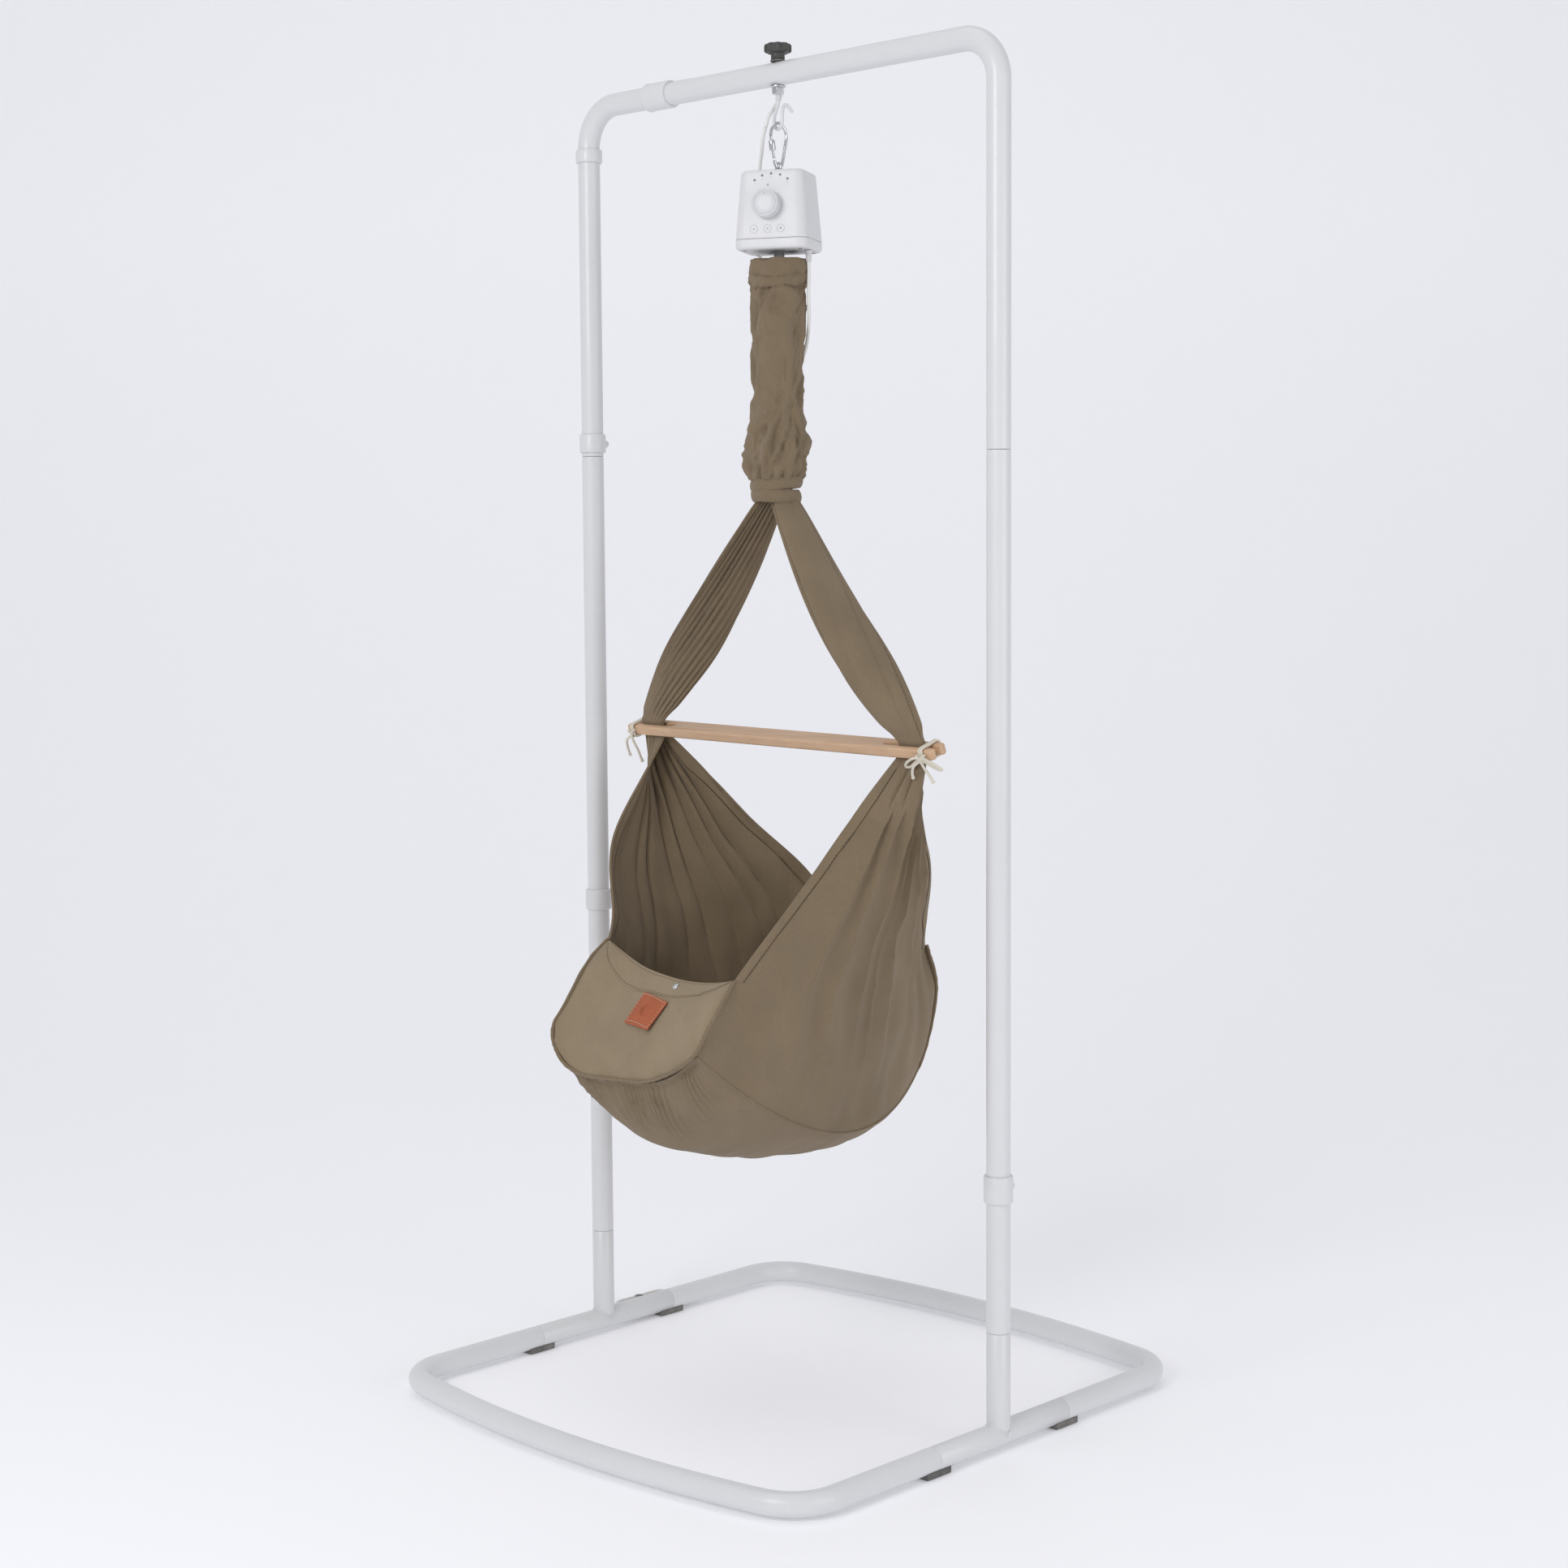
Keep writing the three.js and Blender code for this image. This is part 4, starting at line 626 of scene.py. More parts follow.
def weldBead(centre, radius, axis):
    # a low, slightly uneven ring of weld where one tube meets another's side
    rings = []
    for k in range(72):
        a = 2 * math.pi * k / 72
        out = at(math.cos(a), math.sin(a), 0) / mm
        drop = (axis - math.sqrt(max(0.0, axis ** 2 - (radius * math.cos(a)) ** 2))) * mm
        swell = 1.9 + 0.25 * math.sin(11 * a) + 0.15 * math.sin(23 * a)
        middle = centre + out * radius * mm - np.array((0, 0, drop))
        rings.append([middle + mm * swell * (out * math.cos(t) + np.array((0, 0, 1.0)) * math.sin(t))
                      for t in (2 * math.pi * i / 8 for i in range(8))])
    return ringSkin(rings, closed=True)


def makeTees():
    for name, node, side in (("baseLeftTee", "base_left_tee", -1), ("baseRightTee", "base_right_tee", 1)):
        x = side * stand["legX"]
        run = sweep([at(x, -stand["teeHalf"], baseZ), at(x, -stand["teeHalf"] + 0.6, baseZ),
                     at(x, stand["teeHalf"] - 0.6, baseZ), at(x, stand["teeHalf"], baseZ)],
                    lambda t: stand["tube"] * (0.965 if t in (0.0, 1.0) else 1.0), 40)
        stub = sweep([at(x, 0, baseZ + 8), at(x, 0, stand["stubTop"] - 0.6), at(x, 0, stand["stubTop"])],
                     lambda t: stand["tube"] * (0.965 if t == 1.0 else 0.999), 40)
        bead = weldBead(at(x, 0, baseZ + stand["tube"]), stand["tube"], stand["tube"])
        makePiece(name, joinShapes(run, stub, bead), "whiteSteel", "stand", [node],
                  sharp=50)


def makeUprights():
    low, middle, top = stand["leftJoints"]
    rightLow, rightTop = stand["rightJoints"]
    x, z = stand["legX"], stand["crossbarZ"]
    legs = (("leftLowerLeg", "left_lower_leg", -x, stand["stubTop"], low),
            ("leftMiddleLeg", "left_middle_leg", -x, low, middle),
            ("leftUpperLeg", "left_upper_leg", -x, middle, top),
            ("rightLowerLeg", "right_lower_leg", x, stand["stubTop"], rightLow),
            ("rightUpperLeg", "right_upper_leg", x, rightLow, rightTop))
    for name, node, legX, z0, z1 in legs:
        tubePiece(name, [at(legX, 0, z0 + stand["gap"]), at(legX, 0, z0 + 40), at(legX, 0, z1 - 40),
                         at(legX, 0, z1)], node)
    for name, node, side, start, end in (
            ("leftElbow", "left_elbow", -1, top, stand["barJointX"]),
            ("crossbar", "crossbar", 1, rightTop, stand["barJointX"] + stand["gap"])):
        foot, corner = at(side * x, 0, start + stand["gap"]), at(side * x, 0, z)
        tubePiece(name, [foot] + bendPoints(foot, corner, at(end, 0, z), stand["elbow"], 22)
                  + [at(end, 0, z)], node)


def collarShape(z0, z1, flare=0.0):
    r = stand["collar"]
    return lathe([(16.15, z0), (r - 1.2 + flare, z0), (r - 0.4 + flare, z0 + 0.5), (r + flare, z0 + 1.6),
                  (r, z0 + 5), (r, z1 - 1.6), (r - 0.4, z1 - 0.5), (r - 1.2, z1), (16.15, z1)])


def hexSocketScrew(z):
    # a domed screw head with a six-sided recess, pointing along +Y
    head = lathe([(0, 24.8), (4.9, 24.8), (4.9, 26.6), (4.6, 27.8), (3.7, 28.8), (2.5, 29.4),
                  (2.3, 29.2)], 36)
    recess = lathe([(2.3, 29.2), (2.3, 27.2), (0, 27.0)], 6)
    turn = Matrix.Rotation(-math.pi / 2, 4, "X")
    return placed(placed(joinShapes(head, recess), turn), Matrix.Translation((0, 0, z * mm)))


def makeCollars():
    x = stand["legX"]
    flat = [("leftLowerCollar", "left_lower_collar", -x, 651, 681),
            ("leftElbowCollar", "left_elbow_collar", -x, 1757, 1776)]
    for name, node, legX, z0, z1 in flat:
        shape = placed(collarShape(z0, z1), Matrix.Translation((legX * mm, 0, 0)))
        makePiece(name, shape, "whiteSteel", "stand", [node], sharp=60)
    bolted = [("leftBoltedCollar", "left_bolted_collar", "leftCollarBolt", "left_collar_bolt", -x, 1334,
               1361), ("rightBoltedCollar", "right_bolted_collar", "rightCollarBolt",
                       "right_collar_bolt", x, 332, 368)]
    for name, node, boltName, boltNode, legX, z0, z1 in bolted:
        middle = (z0 + z1) / 2
        boss = lathe([(0, 17), (7.4, 17), (6.7, 21.5), (6.5, 24.2), (5.8, 24.8), (0, 24.8)], 36)
        boss = placed(placed(boss, Matrix.Rotation(-math.pi / 2, 4, "X")),
                      Matrix.Translation((0, 0, middle * mm)))
        move = Matrix.Translation((legX * mm, 0, 0))
        makePiece(name, placed(joinShapes(collarShape(z0, z1), boss), move), "whiteSteel", "stand",
                  [node], sharp=60)
        makePiece(boltName, placed(hexSocketScrew(middle), move), "chrome", "stand", [boltNode])
    along = Matrix.Translation(Vector(at(stand["barJointX"], 0, stand["crossbarZ"]))) @ Matrix.Rotation(
        math.pi / 2, 4, "Y")
    makePiece("crossbarCollar", placed(collarShape(-24, 22, 0.8), along), "whiteSteel", "stand",
              ["crossbar_collar"], sharp=60)


def makeFeet():
    # a rubber saddle under each joint of the base, with a lip on both sides and a ribbed sole
    for node, sx, sy in (("foot_front_left", -1, -1), ("foot_front_right", 1, -1),
                         ("foot_rear_left", -1, 1), ("foot_rear_right", 1, 1)):
        rings = []
        for y in (-23, -22.4, -20, -19, -17, -16, -8, 0, 8, 16, 17, 19, 20, 22.4, 23):
            inset = 1.2 if abs(y) == 23 else (0.5 if abs(y) in (22.4, 19, 17) else 0.0)
            outline = [(-12.6 + inset, 1.2), (-12.0 + inset, 0.0), (12.0 - inset, 0.0),
                       (12.6 - inset, 1.2), (12.9 - inset, 8.2), (11.9 - inset, 9.0)]
            seat = [(16.4 * math.sin(a), baseZ - 16.4 * math.cos(a))
                    for a in np.linspace(0.745, -0.745, 15)]
            rings.append([at(px, y, pz) for px, pz in outline + seat
                          + [(-11.9 + inset, 9.0), (-12.9 + inset, 8.2)]])
        shape = placed(ringSkin(rings), Matrix.Translation(Vector(at(sx * stand["legX"],
                sy * stand["teeHalf"], 0))))
        name = "foot" + "".join(word.capitalize() for word in node.split("_")[1:])
        makePiece(name, shape, "darkRubber", "stand", [node])


# ---- hook, knob and carabiner ----
hook = dict(pivotZ=1761.0, rod=2.5, loop=9.0, turn=-10.0)
hookTurn = Matrix.Rotation(math.radians(hook["turn"]), 4, "Z")


def threaded(radius, depth, pitch, z0, z1):
    count = int((z1 - z0) / pitch)
    profile = [(0, z0), (radius - depth, z0)]
    for k in range(count):
        z = z0 + (z1 - z0) * k / count
        profile += [(radius - depth, z + 0.1), (radius, z + pitch * 0.5),
                    (radius - depth, z + pitch * 0.95)]
    return lathe(profile + [(radius - depth, z1), (0, z1)], 28)


def makeHook():
    top = stand["crossbarZ"] + stand["tube"]
    loop, rod = hook["loop"], hook["rod"]
    low = top + 3
    lobes = lambda a, z: 1 + 0.095 * math.cos(8 * a) * (1 if z > low + 8 else 0)
    knob = lathe([(0, low), (8.9, low), (9.5, low + 0.7), (9.5, low + 6.5), (10.6, low + 8.2),
                  (14.6, low + 8.7), (16.2, low + 9.5), (17.2, low + 11.4), (17.2, low + 18.4),
                  (16.2, low + 20.3), (14.4, low + 21.3), (8, low + 22.0), (6.6, low + 21.5),
                  (5.8, low + 20.8), (0, low + 20.6)], 128, lobes)
    makePiece("starKnob", knob, "blackPlastic", "star_knob", ["star_knob"], sharp=50)
    washer = lathe([(4.3, top + 0.3), (10.1, top + 0.3), (10.5, top + 0.7), (10.5, top + 2.1),
                    (10.1, top + 2.5), (4.3, top + 2.5), (4.3, top + 0.3)], 48)
    makePiece("knobWasher", washer, "darkRubber", "stand", ["knob_washer"])
    centreZ = hook["pivotZ"] + loop
    route = [at(*p) for p in (
        (0, 0, 1801), (-0.6, 0, 1794), (-5, 0, 1786), (-loop, 0, 1779), (-loop, 0, centreZ),
        (-loop * 0.707, 0, centreZ - loop * 0.707), (0, 0, centreZ - loop),
        (loop * 0.707, 0, centreZ - loop * 0.707), (loop, 0, centreZ), (loop + 0.5, 0, 1782),
        (loop + 3, 0, 1789), (loop + 8, 0, 1791), (loop + 17, 0, 1785), (loop + 24, 0, 1779))]
    line = sampled(smoothCurve(route), 90)
    tip = lambda t: rod * (1.0 if t < 0.985 else math.sqrt(max(0.02, 1 - ((t - 0.985) / 0.0152) ** 2)))
    rodShape = sweep(line, tip, 24)
    stem = threaded(3.9, 0.45, 1.25, 1799, stand["crossbarZ"] + 34)
    makePiece("hookRod", placed(joinShapes(rodShape, stem), hookTurn), "whiteSteel", "hook", ["hook"])
    under = stand["crossbarZ"] - stand["tube"] - 0.3
    flange = lathe([(4.2, under), (10.6, under), (11, under - 0.4), (11, under - 1.4), (9.6, under - 2.6),
                    (4.2, under - 2.8)], 48)
    hexagon = lathe([(4.2, under - 2.6), (8.6, under - 2.6), (8.6, under - 10.4), (7.9, under - 11.4),
                     (4.6, under - 11.5), (4.2, under - 11.0)], 6)
    makePiece("hookNut", joinShapes(flange, hexagon), "chrome", "hook", ["hook_nut"],
              bevel=0.35)


def makeCarabiner():
    wide, narrow, rod = 13.5, 5.5, 2.25
    topZ, lowZ = hook["pivotZ"] + 0.3 + rod + 5.3, 1708.2
    gateTop, gateLow = at(0, -wide + 0.4, 1752), at(0, -narrow - 2.1, 1721)
    route = [gateTop] + [at(*p) for p in (
        (0, -wide + 2.5, 1760), (0, -6, 1766.5), (0, 0, topZ), (0, 6, 1766.5), (0, wide - 2, 1760),
        (0, wide, 1752), (0, 11, 1738), (0, narrow + 2, 1720), (0, narrow, 1713), (0, 3.2, 1709.4),
        (0, 0, lowZ), (0, -3.2, 1709.4), (0, -narrow, 1713))] + [gateLow + at(0, 0.6, -2.2)]
    body = sweep(sampled(smoothCurve(route), 110), rod, 22)
    makePiece("carabinerBody", placed(body, hookTurn), "chrome", "carabiner", ["carabiner"])
    way = unit(gateLow - gateTop)
    start, end = gateTop + way * mm, gateLow - way * mm
    pins = [sweep([p - at(2.9, 0, 0), p + at(2.9, 0, 0)], 0.9, 14) for p in (start, end)]
    gate = joinShapes(sweep([start, mixed(start, end, 0.5), end], 1.9, 22), *pins)
    makePiece("carabinerGate", placed(gate, hookTurn), "chrome", "carabiner_gate", ["carabiner_gate"],
              bevel=0.25)
    line = [start + way * mm * k for k in (6, 6.5, 7.2, 18.8, 19.5, 20)]
    centre, ways, across = frames(line)
    rings = []
    for i, (point, side) in enumerate(zip(centre, across)):
        up = np.cross(side, way)
        round_ = (3.7, 4.1, 4.2, 4.2, 4.1, 3.7)[i]
        rings.append([point + mm * (round_ + 0.14 * (k % 2) * (i in (2, 3)))
                      * (side * math.cos(2 * math.pi * k / 48) + up * math.sin(2 * math.pi * k / 48))
                      for k in range(48)])
    makePiece("screwSleeve", placed(ringSkin(rings), hookTurn), "chrome", "screw_sleeve",
              ["carabiner_screw_sleeve"])


makeRails()
makeTees()
makeUprights()
makeCollars()
makeFeet()
makeHook()
makeCarabiner()
print("stand, hook and carabiner made")


# ---- motor ----
motor = dict(turn=27.0, halfX=52.5, halfY=44.0, corner=16.0, seam=1609.0, top=1702.0, bottom=1595.0,
             topScale=0.86, topRound=5.5, wall=2.5, dialX=-3.0, dialZ=1654.0, ledArc=26.0,
             gland=(44.0, -6.0), glandEnd=1580.0, iconPlaces=(-22.5, -3.0, 15.5), iconZ=1622.0)
motorTurn = Matrix.Rotation(math.radians(motor["turn"]), 4, "Z")
faceTilt = math.atan(motor["halfY"] * (1 - motor["topScale"]) / (motor["top"] - motor["seam"]))


def roundedRing(halfX, halfY, corner, z, steps=10):
    ring = []
    for cx, cy, start in ((1, 1, 0), (-1, 1, 90), (-1, -1, 180), (1, -1, 270)):
        for k in range(steps + 1):
            a = math.radians(start + 90 * k / steps)
            ring.append(at(cx * (halfX - corner) + corner * math.cos(a),
                           cy * (halfY - corner) + corner * math.sin(a), z))
    return ring


def housingRing(z, inset):
    share = 1 - (1 - motor["topScale"]) * max(0.0, z - motor["seam"]) / (motor["top"] - motor["seam"])
    return roundedRing(motor["halfX"] * share - inset, motor["halfY"] * share - inset,
                       max(0.6, motor["corner"] * share - inset * 0.8), z)


def cutOut(obj, shape):
    tool = makePiece("cutter", shape, "print", None)
    cut = obj.modifiers.new("cut", "BOOLEAN")
    cut.operation, cut.solver, cut.object = "DIFFERENCE", "EXACT", tool
    graph = bpy.context.evaluated_depsgraph_get()
    made = bpy.data.meshes.new_from_object(obj.evaluated_get(graph))
    obj.modifiers.clear()
    obj.data = made
    bpy.data.objects.remove(tool)


def ontoFront(shape, x, z):
    y = -motor["halfY"] + (z - motor["seam"]) * math.tan(faceTilt)
    turn = Matrix.Rotation(math.pi / 2 - faceTilt, 4, "X")
    return placed(shape, motorTurn @ Matrix.Translation(Vector(at(x, y, z))) @ turn)


def ledPlace(i):
    a = math.radians(90 + (2 - i) * 23)
    arc = motor["ledArc"]
    return motor["dialX"] + 4 + 1.25 * arc * math.cos(a), motor["dialZ"] + 16 + arc * math.sin(a)


def flatRing(outer, inner, sides=36, lift=0.18):
    return lathe([(inner, 0), (outer, 0), (outer, lift), (inner, lift), (inner, 0)], sides)


def flatDisc(radius, sides, lift=0.18):
    return lathe([(0, -0.1), (radius, -0.1), (radius, lift), (0, lift)], sides)


def makeMotorCase():
    e, top, seam, wall = motor["topRound"], motor["top"], motor["seam"], motor["wall"]
    rings = [[at(0, 0, top + 0.6)] * 44] + [housingRing(top + rise, inset) for rise, inset in (
        (0.55, 34), (0.4, 24), (0.15, 12))]
    rings += [housingRing(top - e + e * math.sin(a), e * (1 - math.cos(a)))
              for a in np.linspace(math.pi / 2, 0, 9)]
    rings += [housingRing(z, 0) for z in np.linspace(top - e - 4, seam + 3, 12)]
    rings += [housingRing(seam + 0.8, 0.05), housingRing(seam + 0.4, 0.4), housingRing(seam + 0.3, 0.9),
              housingRing(seam + 0.3, wall), housingRing(top - wall - 3, wall),
              housingRing(top - wall, wall + 3), [at(0, 0, top - wall)] * 44]
    case = makePiece("motorCase", placed(ringSkin(rings, capped=False), motorTurn), "whitePlastic",
                     "motor", ["motor_case"], sharp=50)
    hole = sweep([at(0, 0, top - 8), at(0, 0, top + 4)], 2.4, 24)
    cutOut(case, hole)
    return case


def makeBottomCover():
    low, seam = motor["bottom"], motor["seam"]
    rings = [[at(0, 0, low)] * 44, housingRing(low, 25), housingRing(low, 8)]
    rings += [housingRing(low + 5 - 5 * math.sin(a), 5 * (1 - math.cos(a)))
              for a in np.linspace(1.35, 0, 8)]
    rings += [housingRing(seam - 1.2, 0), housingRing(seam - 0.5, 0.15), housingRing(seam - 0.05, 0.7),
              housingRing(seam, 1.4), housingRing(seam, 8), housingRing(low + 3, 9),
              [at(0, 0, low + 3)] * 44]
    cover = makePiece("motorBottomCover", placed(ringSkin(rings, capped=False), motorTurn),
                      "whitePlastic", "motor", ["motor_bottom_cover"], sharp=50)
    slotRings = [roundedRing(9.5, 3.0, 2.0, z, 4) for z in (low - 3, low + 8)]
    cutOut(cover, placed(ringSkin(slotRings), motorTurn))
    gx, gy = motor["gland"]
    cutOut(cover, placed(sweep([at(gx, gy, low - 4), at(gx, gy, low + 8)], 4.0, 28), motorTurn))
    lipRings = [roundedRing(9.5 + r, 3.0 + r, 2.0 + r, low - z, 6) for r, z in (
        (0.0, -1.0), (0.0, 0.5), (0.3, 0.9), (0.9, 0.9), (1.3, 0.5), (1.3, -1.0))]
    makePiece("strapSlotLip", placed(ringSkin(lipRings, closed=True), motorTurn), "dialPlastic", "motor")
    screw = lathe([(0, 0.4), (2.9, 0.4), (2.9, -0.3), (2.4, -0.8), (1.0, -0.95), (0.9, 0.0),
                   (0, 0.05)], 24)
    for number, (x, y) in enumerate(((-40, -31), (40, -31), (-40, 31), (40, 31))):
        makePiece(f"coverScrew{number + 1}", placed(placed(screw,
                                                           Matrix.Translation(Vector(at(x, y,
                low + 0.1)))), motorTurn), "greyMetal", "motor")


def makeMotorFace():
    ribs = lambda a, z: 1 + 0.006 * math.cos(72 * a) * (3.5 < z < 14)
    dial = lathe([(0, 0.5), (16.8, 0.5), (18.6, 1.4), (19, 2.4), (19, 3.4), (19, 8), (19, 14),
                  (18.8, 15.4), (18.2, 16.5), (17.2, 17), (16.3, 17), (15.9, 16.6), (15.7, 16.2),
                  (15.5, 16.6), (15.1, 16.9), (8, 17.2), (0, 17.3)], 144, ribs)
    spindle = lathe([(0, -9), (3, -9), (3, 0.6), (0, 0.6)], 20)
    dialPiece = makePiece("dialKnob", ontoFront(joinShapes(dial, spindle), motor["dialX"],
            motor["dialZ"]), "dialPlastic", "dial", ["dial_knob"], sharp=50)
    pointer = placed(flatDisc(0.9, 20, 0.25), Matrix.Translation((0, 12.6 * mm, 17.05 * mm)))
    makePiece("dialPointer", ontoFront(pointer, motor["dialX"], motor["dialZ"]), "print", "dial")
    lens = lathe([(0, -1.2), (1.75, -1.2), (1.75, 0.1), (1.4, 0.45), (0.8, 0.65), (0, 0.72)], 28)
    tick = sweep([at(-1.1, 0, 0.05), at(1.1, 0, 0.05)], 0.22, 8)
    lenses, ticks = [], []
    for i in range(5):
        x, z = ledPlace(i)
        lenses.append(ontoFront(lens, x, z))
        ticks.append(ontoFront(tick, x, z - 5.2))
    makePiece("lightLenses", joinShapes(*lenses), "lightGuide", "motor")
    diamond = flatDisc(1.9, 4)
    marks = [ontoFront(diamond, motor["dialX"] - 0.5, motor["dialZ"] + 27)]
    glyphs = (flatDisc(1.9, 3), flatDisc(1.3, 24), flatDisc(2.0, 4))
    for x, glyph in zip(motor["iconPlaces"], glyphs):
        marks += [ontoFront(flatRing(5.6, 5.15), x, motor["iconZ"]), ontoFront(glyph, x, motor["iconZ"])]
    makePiece("faceMarks", joinShapes(*marks, *ticks), "print", "motor")
    return dialPiece


def makeMotorFittings():
    # the eye on top, the gland with its ribbed strain relief, and the webbing with its grommet
    eyeTurn = Matrix.Rotation(math.radians(hook["turn"]), 4, "Z")
    eyeLow = 1704.0
    eye = [at(x, 0, eyeLow + z) for x, z in ((0, 0), (3.4, 1.2), (5.4, 4.4), (4.9, 8), (2.8, 10.4),
            (0, 11.1), (-2.8, 10.4), (-4.9, 8), (-5.4, 4.4), (-3.4, 1.2))]
    ring = placed(sweep(sampled(smoothCurve(eye, True), 48, True), 1.9, 18, closed=True), eyeTurn)
    shank = lathe([(0, 1688), (2, 1688), (2, 1702.9), (5.6, 1702.9), (6, 1703.1), (6, 1703.4),
                   (5.4, 1703.7), (2.6, 1704.3), (0, 1704.3)], 36)
    nut = lathe([(0, 1694.8), (4.6, 1694.8), (5, 1695.2), (5, 1698.4), (4.6, 1698.8), (0, 1698.8)], 6)
    makePiece("motorEye", joinShapes(ring, shank, nut), "chrome", "motor", ["motor_eye"])
    gx, gy = motor["gland"]
    end, low = motor["glandEnd"], motor["bottom"]
    profile = [(2.75, end), (3.5, end), (3.7, end + 0.4)]
    for k in range(5):
        z = end + 1.2 + 2.1 * k
        profile += [(3.6 + 0.13 * k, z), (4.05 + 0.13 * k, z + 0.4), (4.05 + 0.13 * k, z + 1.1),
                    (3.65 + 0.13 * k, z + 1.5)]
    profile += [(4.4, low - 3.2), (5.4, low - 3), (5.7, low - 2.5), (5.7, low - 0.5), (3.8, low - 0.4),
                (3.8, low + 6), (2.75, low + 6), (2.75, end)]
    gland = placed(placed(lathe(profile, 36), Matrix.Translation(Vector(at(gx, gy, 0)))), motorTurn)
    makePiece("cableGland", gland, "whitePlastic", "motor", ["cable_gland"], sharp=45)
    strapGrid = clothGrid(lambda u, v: at(-7.25 + 14.5 * u, 0.12 * math.sin(40 * v), 1568.2 + 81.6 * v),
                          22, 90, 1.9)
    strap = makePiece("liftStrap", placed(strapGrid, motorTurn), "greyWebbing", "lift_strap",
                      ["lift_strap"])
    cutOut(strap, placed(sweep([at(0, -5, 1576), at(0, 5, 1576)], 4.5, 28), motorTurn))
    grommet = lathe([(4.15, -1.3), (4.6, -1.55), (5.6, -1.5), (6.0, -1.15), (4.7, -1.0), (4.7, 1.0),
                     (6.0, 1.15), (5.6, 1.5), (4.6, 1.55), (4.15, 1.3), (4.15, -1.3)], 40)
    turn = motorTurn @ Matrix.Translation(Vector(at(0, 0, 1576))) @ Matrix.Rotation(math.pi / 2, 4, "X")
    makePiece("strapGrommet", placed(grommet, turn), "chrome", "lift_strap")
    hems = []
    for x in (-6.1, 6.1):
        for y, out in ((-1.0, -1), (1.0, 1)):
            line = [at(x, y, z) for z in np.arange(1570, 1594, 0.7)]
            hems.append(stitches(line, [np.array((0, out, 0.0))] * len(line), 1.9, 2.9, 0.55))
    makePiece("strapStitching", placed(joinShapes(*hems), motorTurn), "threadAndShade", "lift_strap")


# ---- spring, sleeve and neck ----
sleeve = dict(top=1584.0, neck=1250.0, lean=(-5.0, -5.0), pleats=15, thickness=1.4, fold=9.5,
              crumple=3.4, bellyCrumple=4.4, topCrumple=2.5, cuffRadius=37.0, cuffLevel=1556,
              cuffSwell=6.0, cuffCrush=4.5)


def makeSpring():
    coil, turns, top, low = 13.5, 8, 1545.0, 1395.0
    topHook = smoothCurve([at(*p) for p in (
        (3.4, -6.6, 1570), (1.8, -3.6, 1573.8), (0, 0, 1574.4), (-1.8, 3.6, 1573.8), (-3.6, 6.8, 1569.5),
        (-3, 8, 1562), (4, 5, 1553), (11, 1, 1547.5), (coil, 0, top))])
    lowHook = smoothCurve([at(*p) for p in (
        (coil, 0, low), (11, 1.5, low - 3), (5, 2, low - 7), (0, 0, low - 12), (-5, 0, low - 18),
        (-4.4, 0, low - 24), (0, 0, low - 27), (4.6, 0, low - 24))])
    helix = [at(coil * math.cos(a), coil * math.sin(a), top + (low - top) * a / (2 * math.pi * turns))
             for a in np.linspace(0, 2 * math.pi * turns, 24 * turns)]
    line = sampled(topHook, 40)[:-1] + helix + sampled(lowHook, 36)[1:]
    spring = makePiece("springWire", sweep(line, 2, 14), "chrome", None, ["spring"])
    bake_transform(spring)
    snap = smoothCurve([at(*p) for p in (
        (0, 0, 1376), (0, 6.5, 1373), (0, 10, 1364), (0, 8.5, 1347), (0, 5, 1330), (0, 0, 1326.6),
        (0, -5, 1330), (0, -8.5, 1347), (0, -10, 1364), (0, -6.5, 1373))], True)
    makePiece("lowerCarabiner", sweep(sampled(snap, 70, True), 2.25, 18, closed=True), "chrome",
              "hammock", ["lower_carabiner"])


sleeveOutline = smoothCurve([np.array(p) for p in (
    (33.0, 1583.5), (37.5, 1583.5), (40.0, 1576.0), (39.6, 1562.0), (36.0, 1551.0), (35.2, 1520.0),
    (35.0, 1480.0), (34.5, 1420.0), (34.5, 1385.0), (37.5, 1360.0), (43.5, 1338.0), (46.5, 1322.0),
    (44.0, 1306.0), (37.5, 1291.0), (34.0, 1284.0))])


def leanAt(z):
    share = (sleeve["top"] - z) / (sleeve["top"] - sleeve["neck"])
    return sleeve["lean"][0] * share, sleeve["lean"][1] * share


def sleevePoint(u, v):
    radius, z = sleeveOutline(v)
    a = 2 * math.pi * u
    x, y, w = math.cos(a), math.sin(a), (z - 1250) / 330
    spiral = (1.25 * x + 0.7 * math.sin(a - z * 0.019),
              1.25 * y + 0.7 * math.cos(a - z * 0.019), z * 0.017)
    # sharp folds that wind round the tube
    crest = 0.3 - 1.7 * abs(wrinkle(spiral, 1.0, 3.1))
    small = 0.25 - 1.4 * abs(wrinkle(spiral, 2.4, 7.7))
    belly = math.exp(-((z - 1328) / 36) ** 2)
    top = math.exp(-((z - 1535) / 22) ** 2)
    crumple = sleeve["crumple"] + sleeve["bellyCrumple"] * belly + sleeve["topCrumple"] * top
    fold = sleeve["fold"] * crest + crumple * small
    gather = math.cos(sleeve["pleats"] * a + 1.3 * math.sin(2 * a)) * (
        2.2 * math.exp(-((z - 1294) / 24) ** 2) + 0.7 * math.exp(-((z - 1548) / 9) ** 2))
    inCuff = eased((z - 1550) / 8) * eased((1582 - z) / 4 + 0.3)
    creep = 1.3 * math.sin(9 * a + 0.9 * math.sin(3 * a)) * math.exp(-((z - 1566) / 12) ** 2)
    r = radius + fold * (1 - 0.75 * inCuff) * min(1.0, 0.3 + 4 * w) + gather + creep
    lean = leanAt(z)
    return at(lean[0] + r * x, lean[1] + r * y, z + 1.2 * math.sin(3 * a + 1) * inCuff)


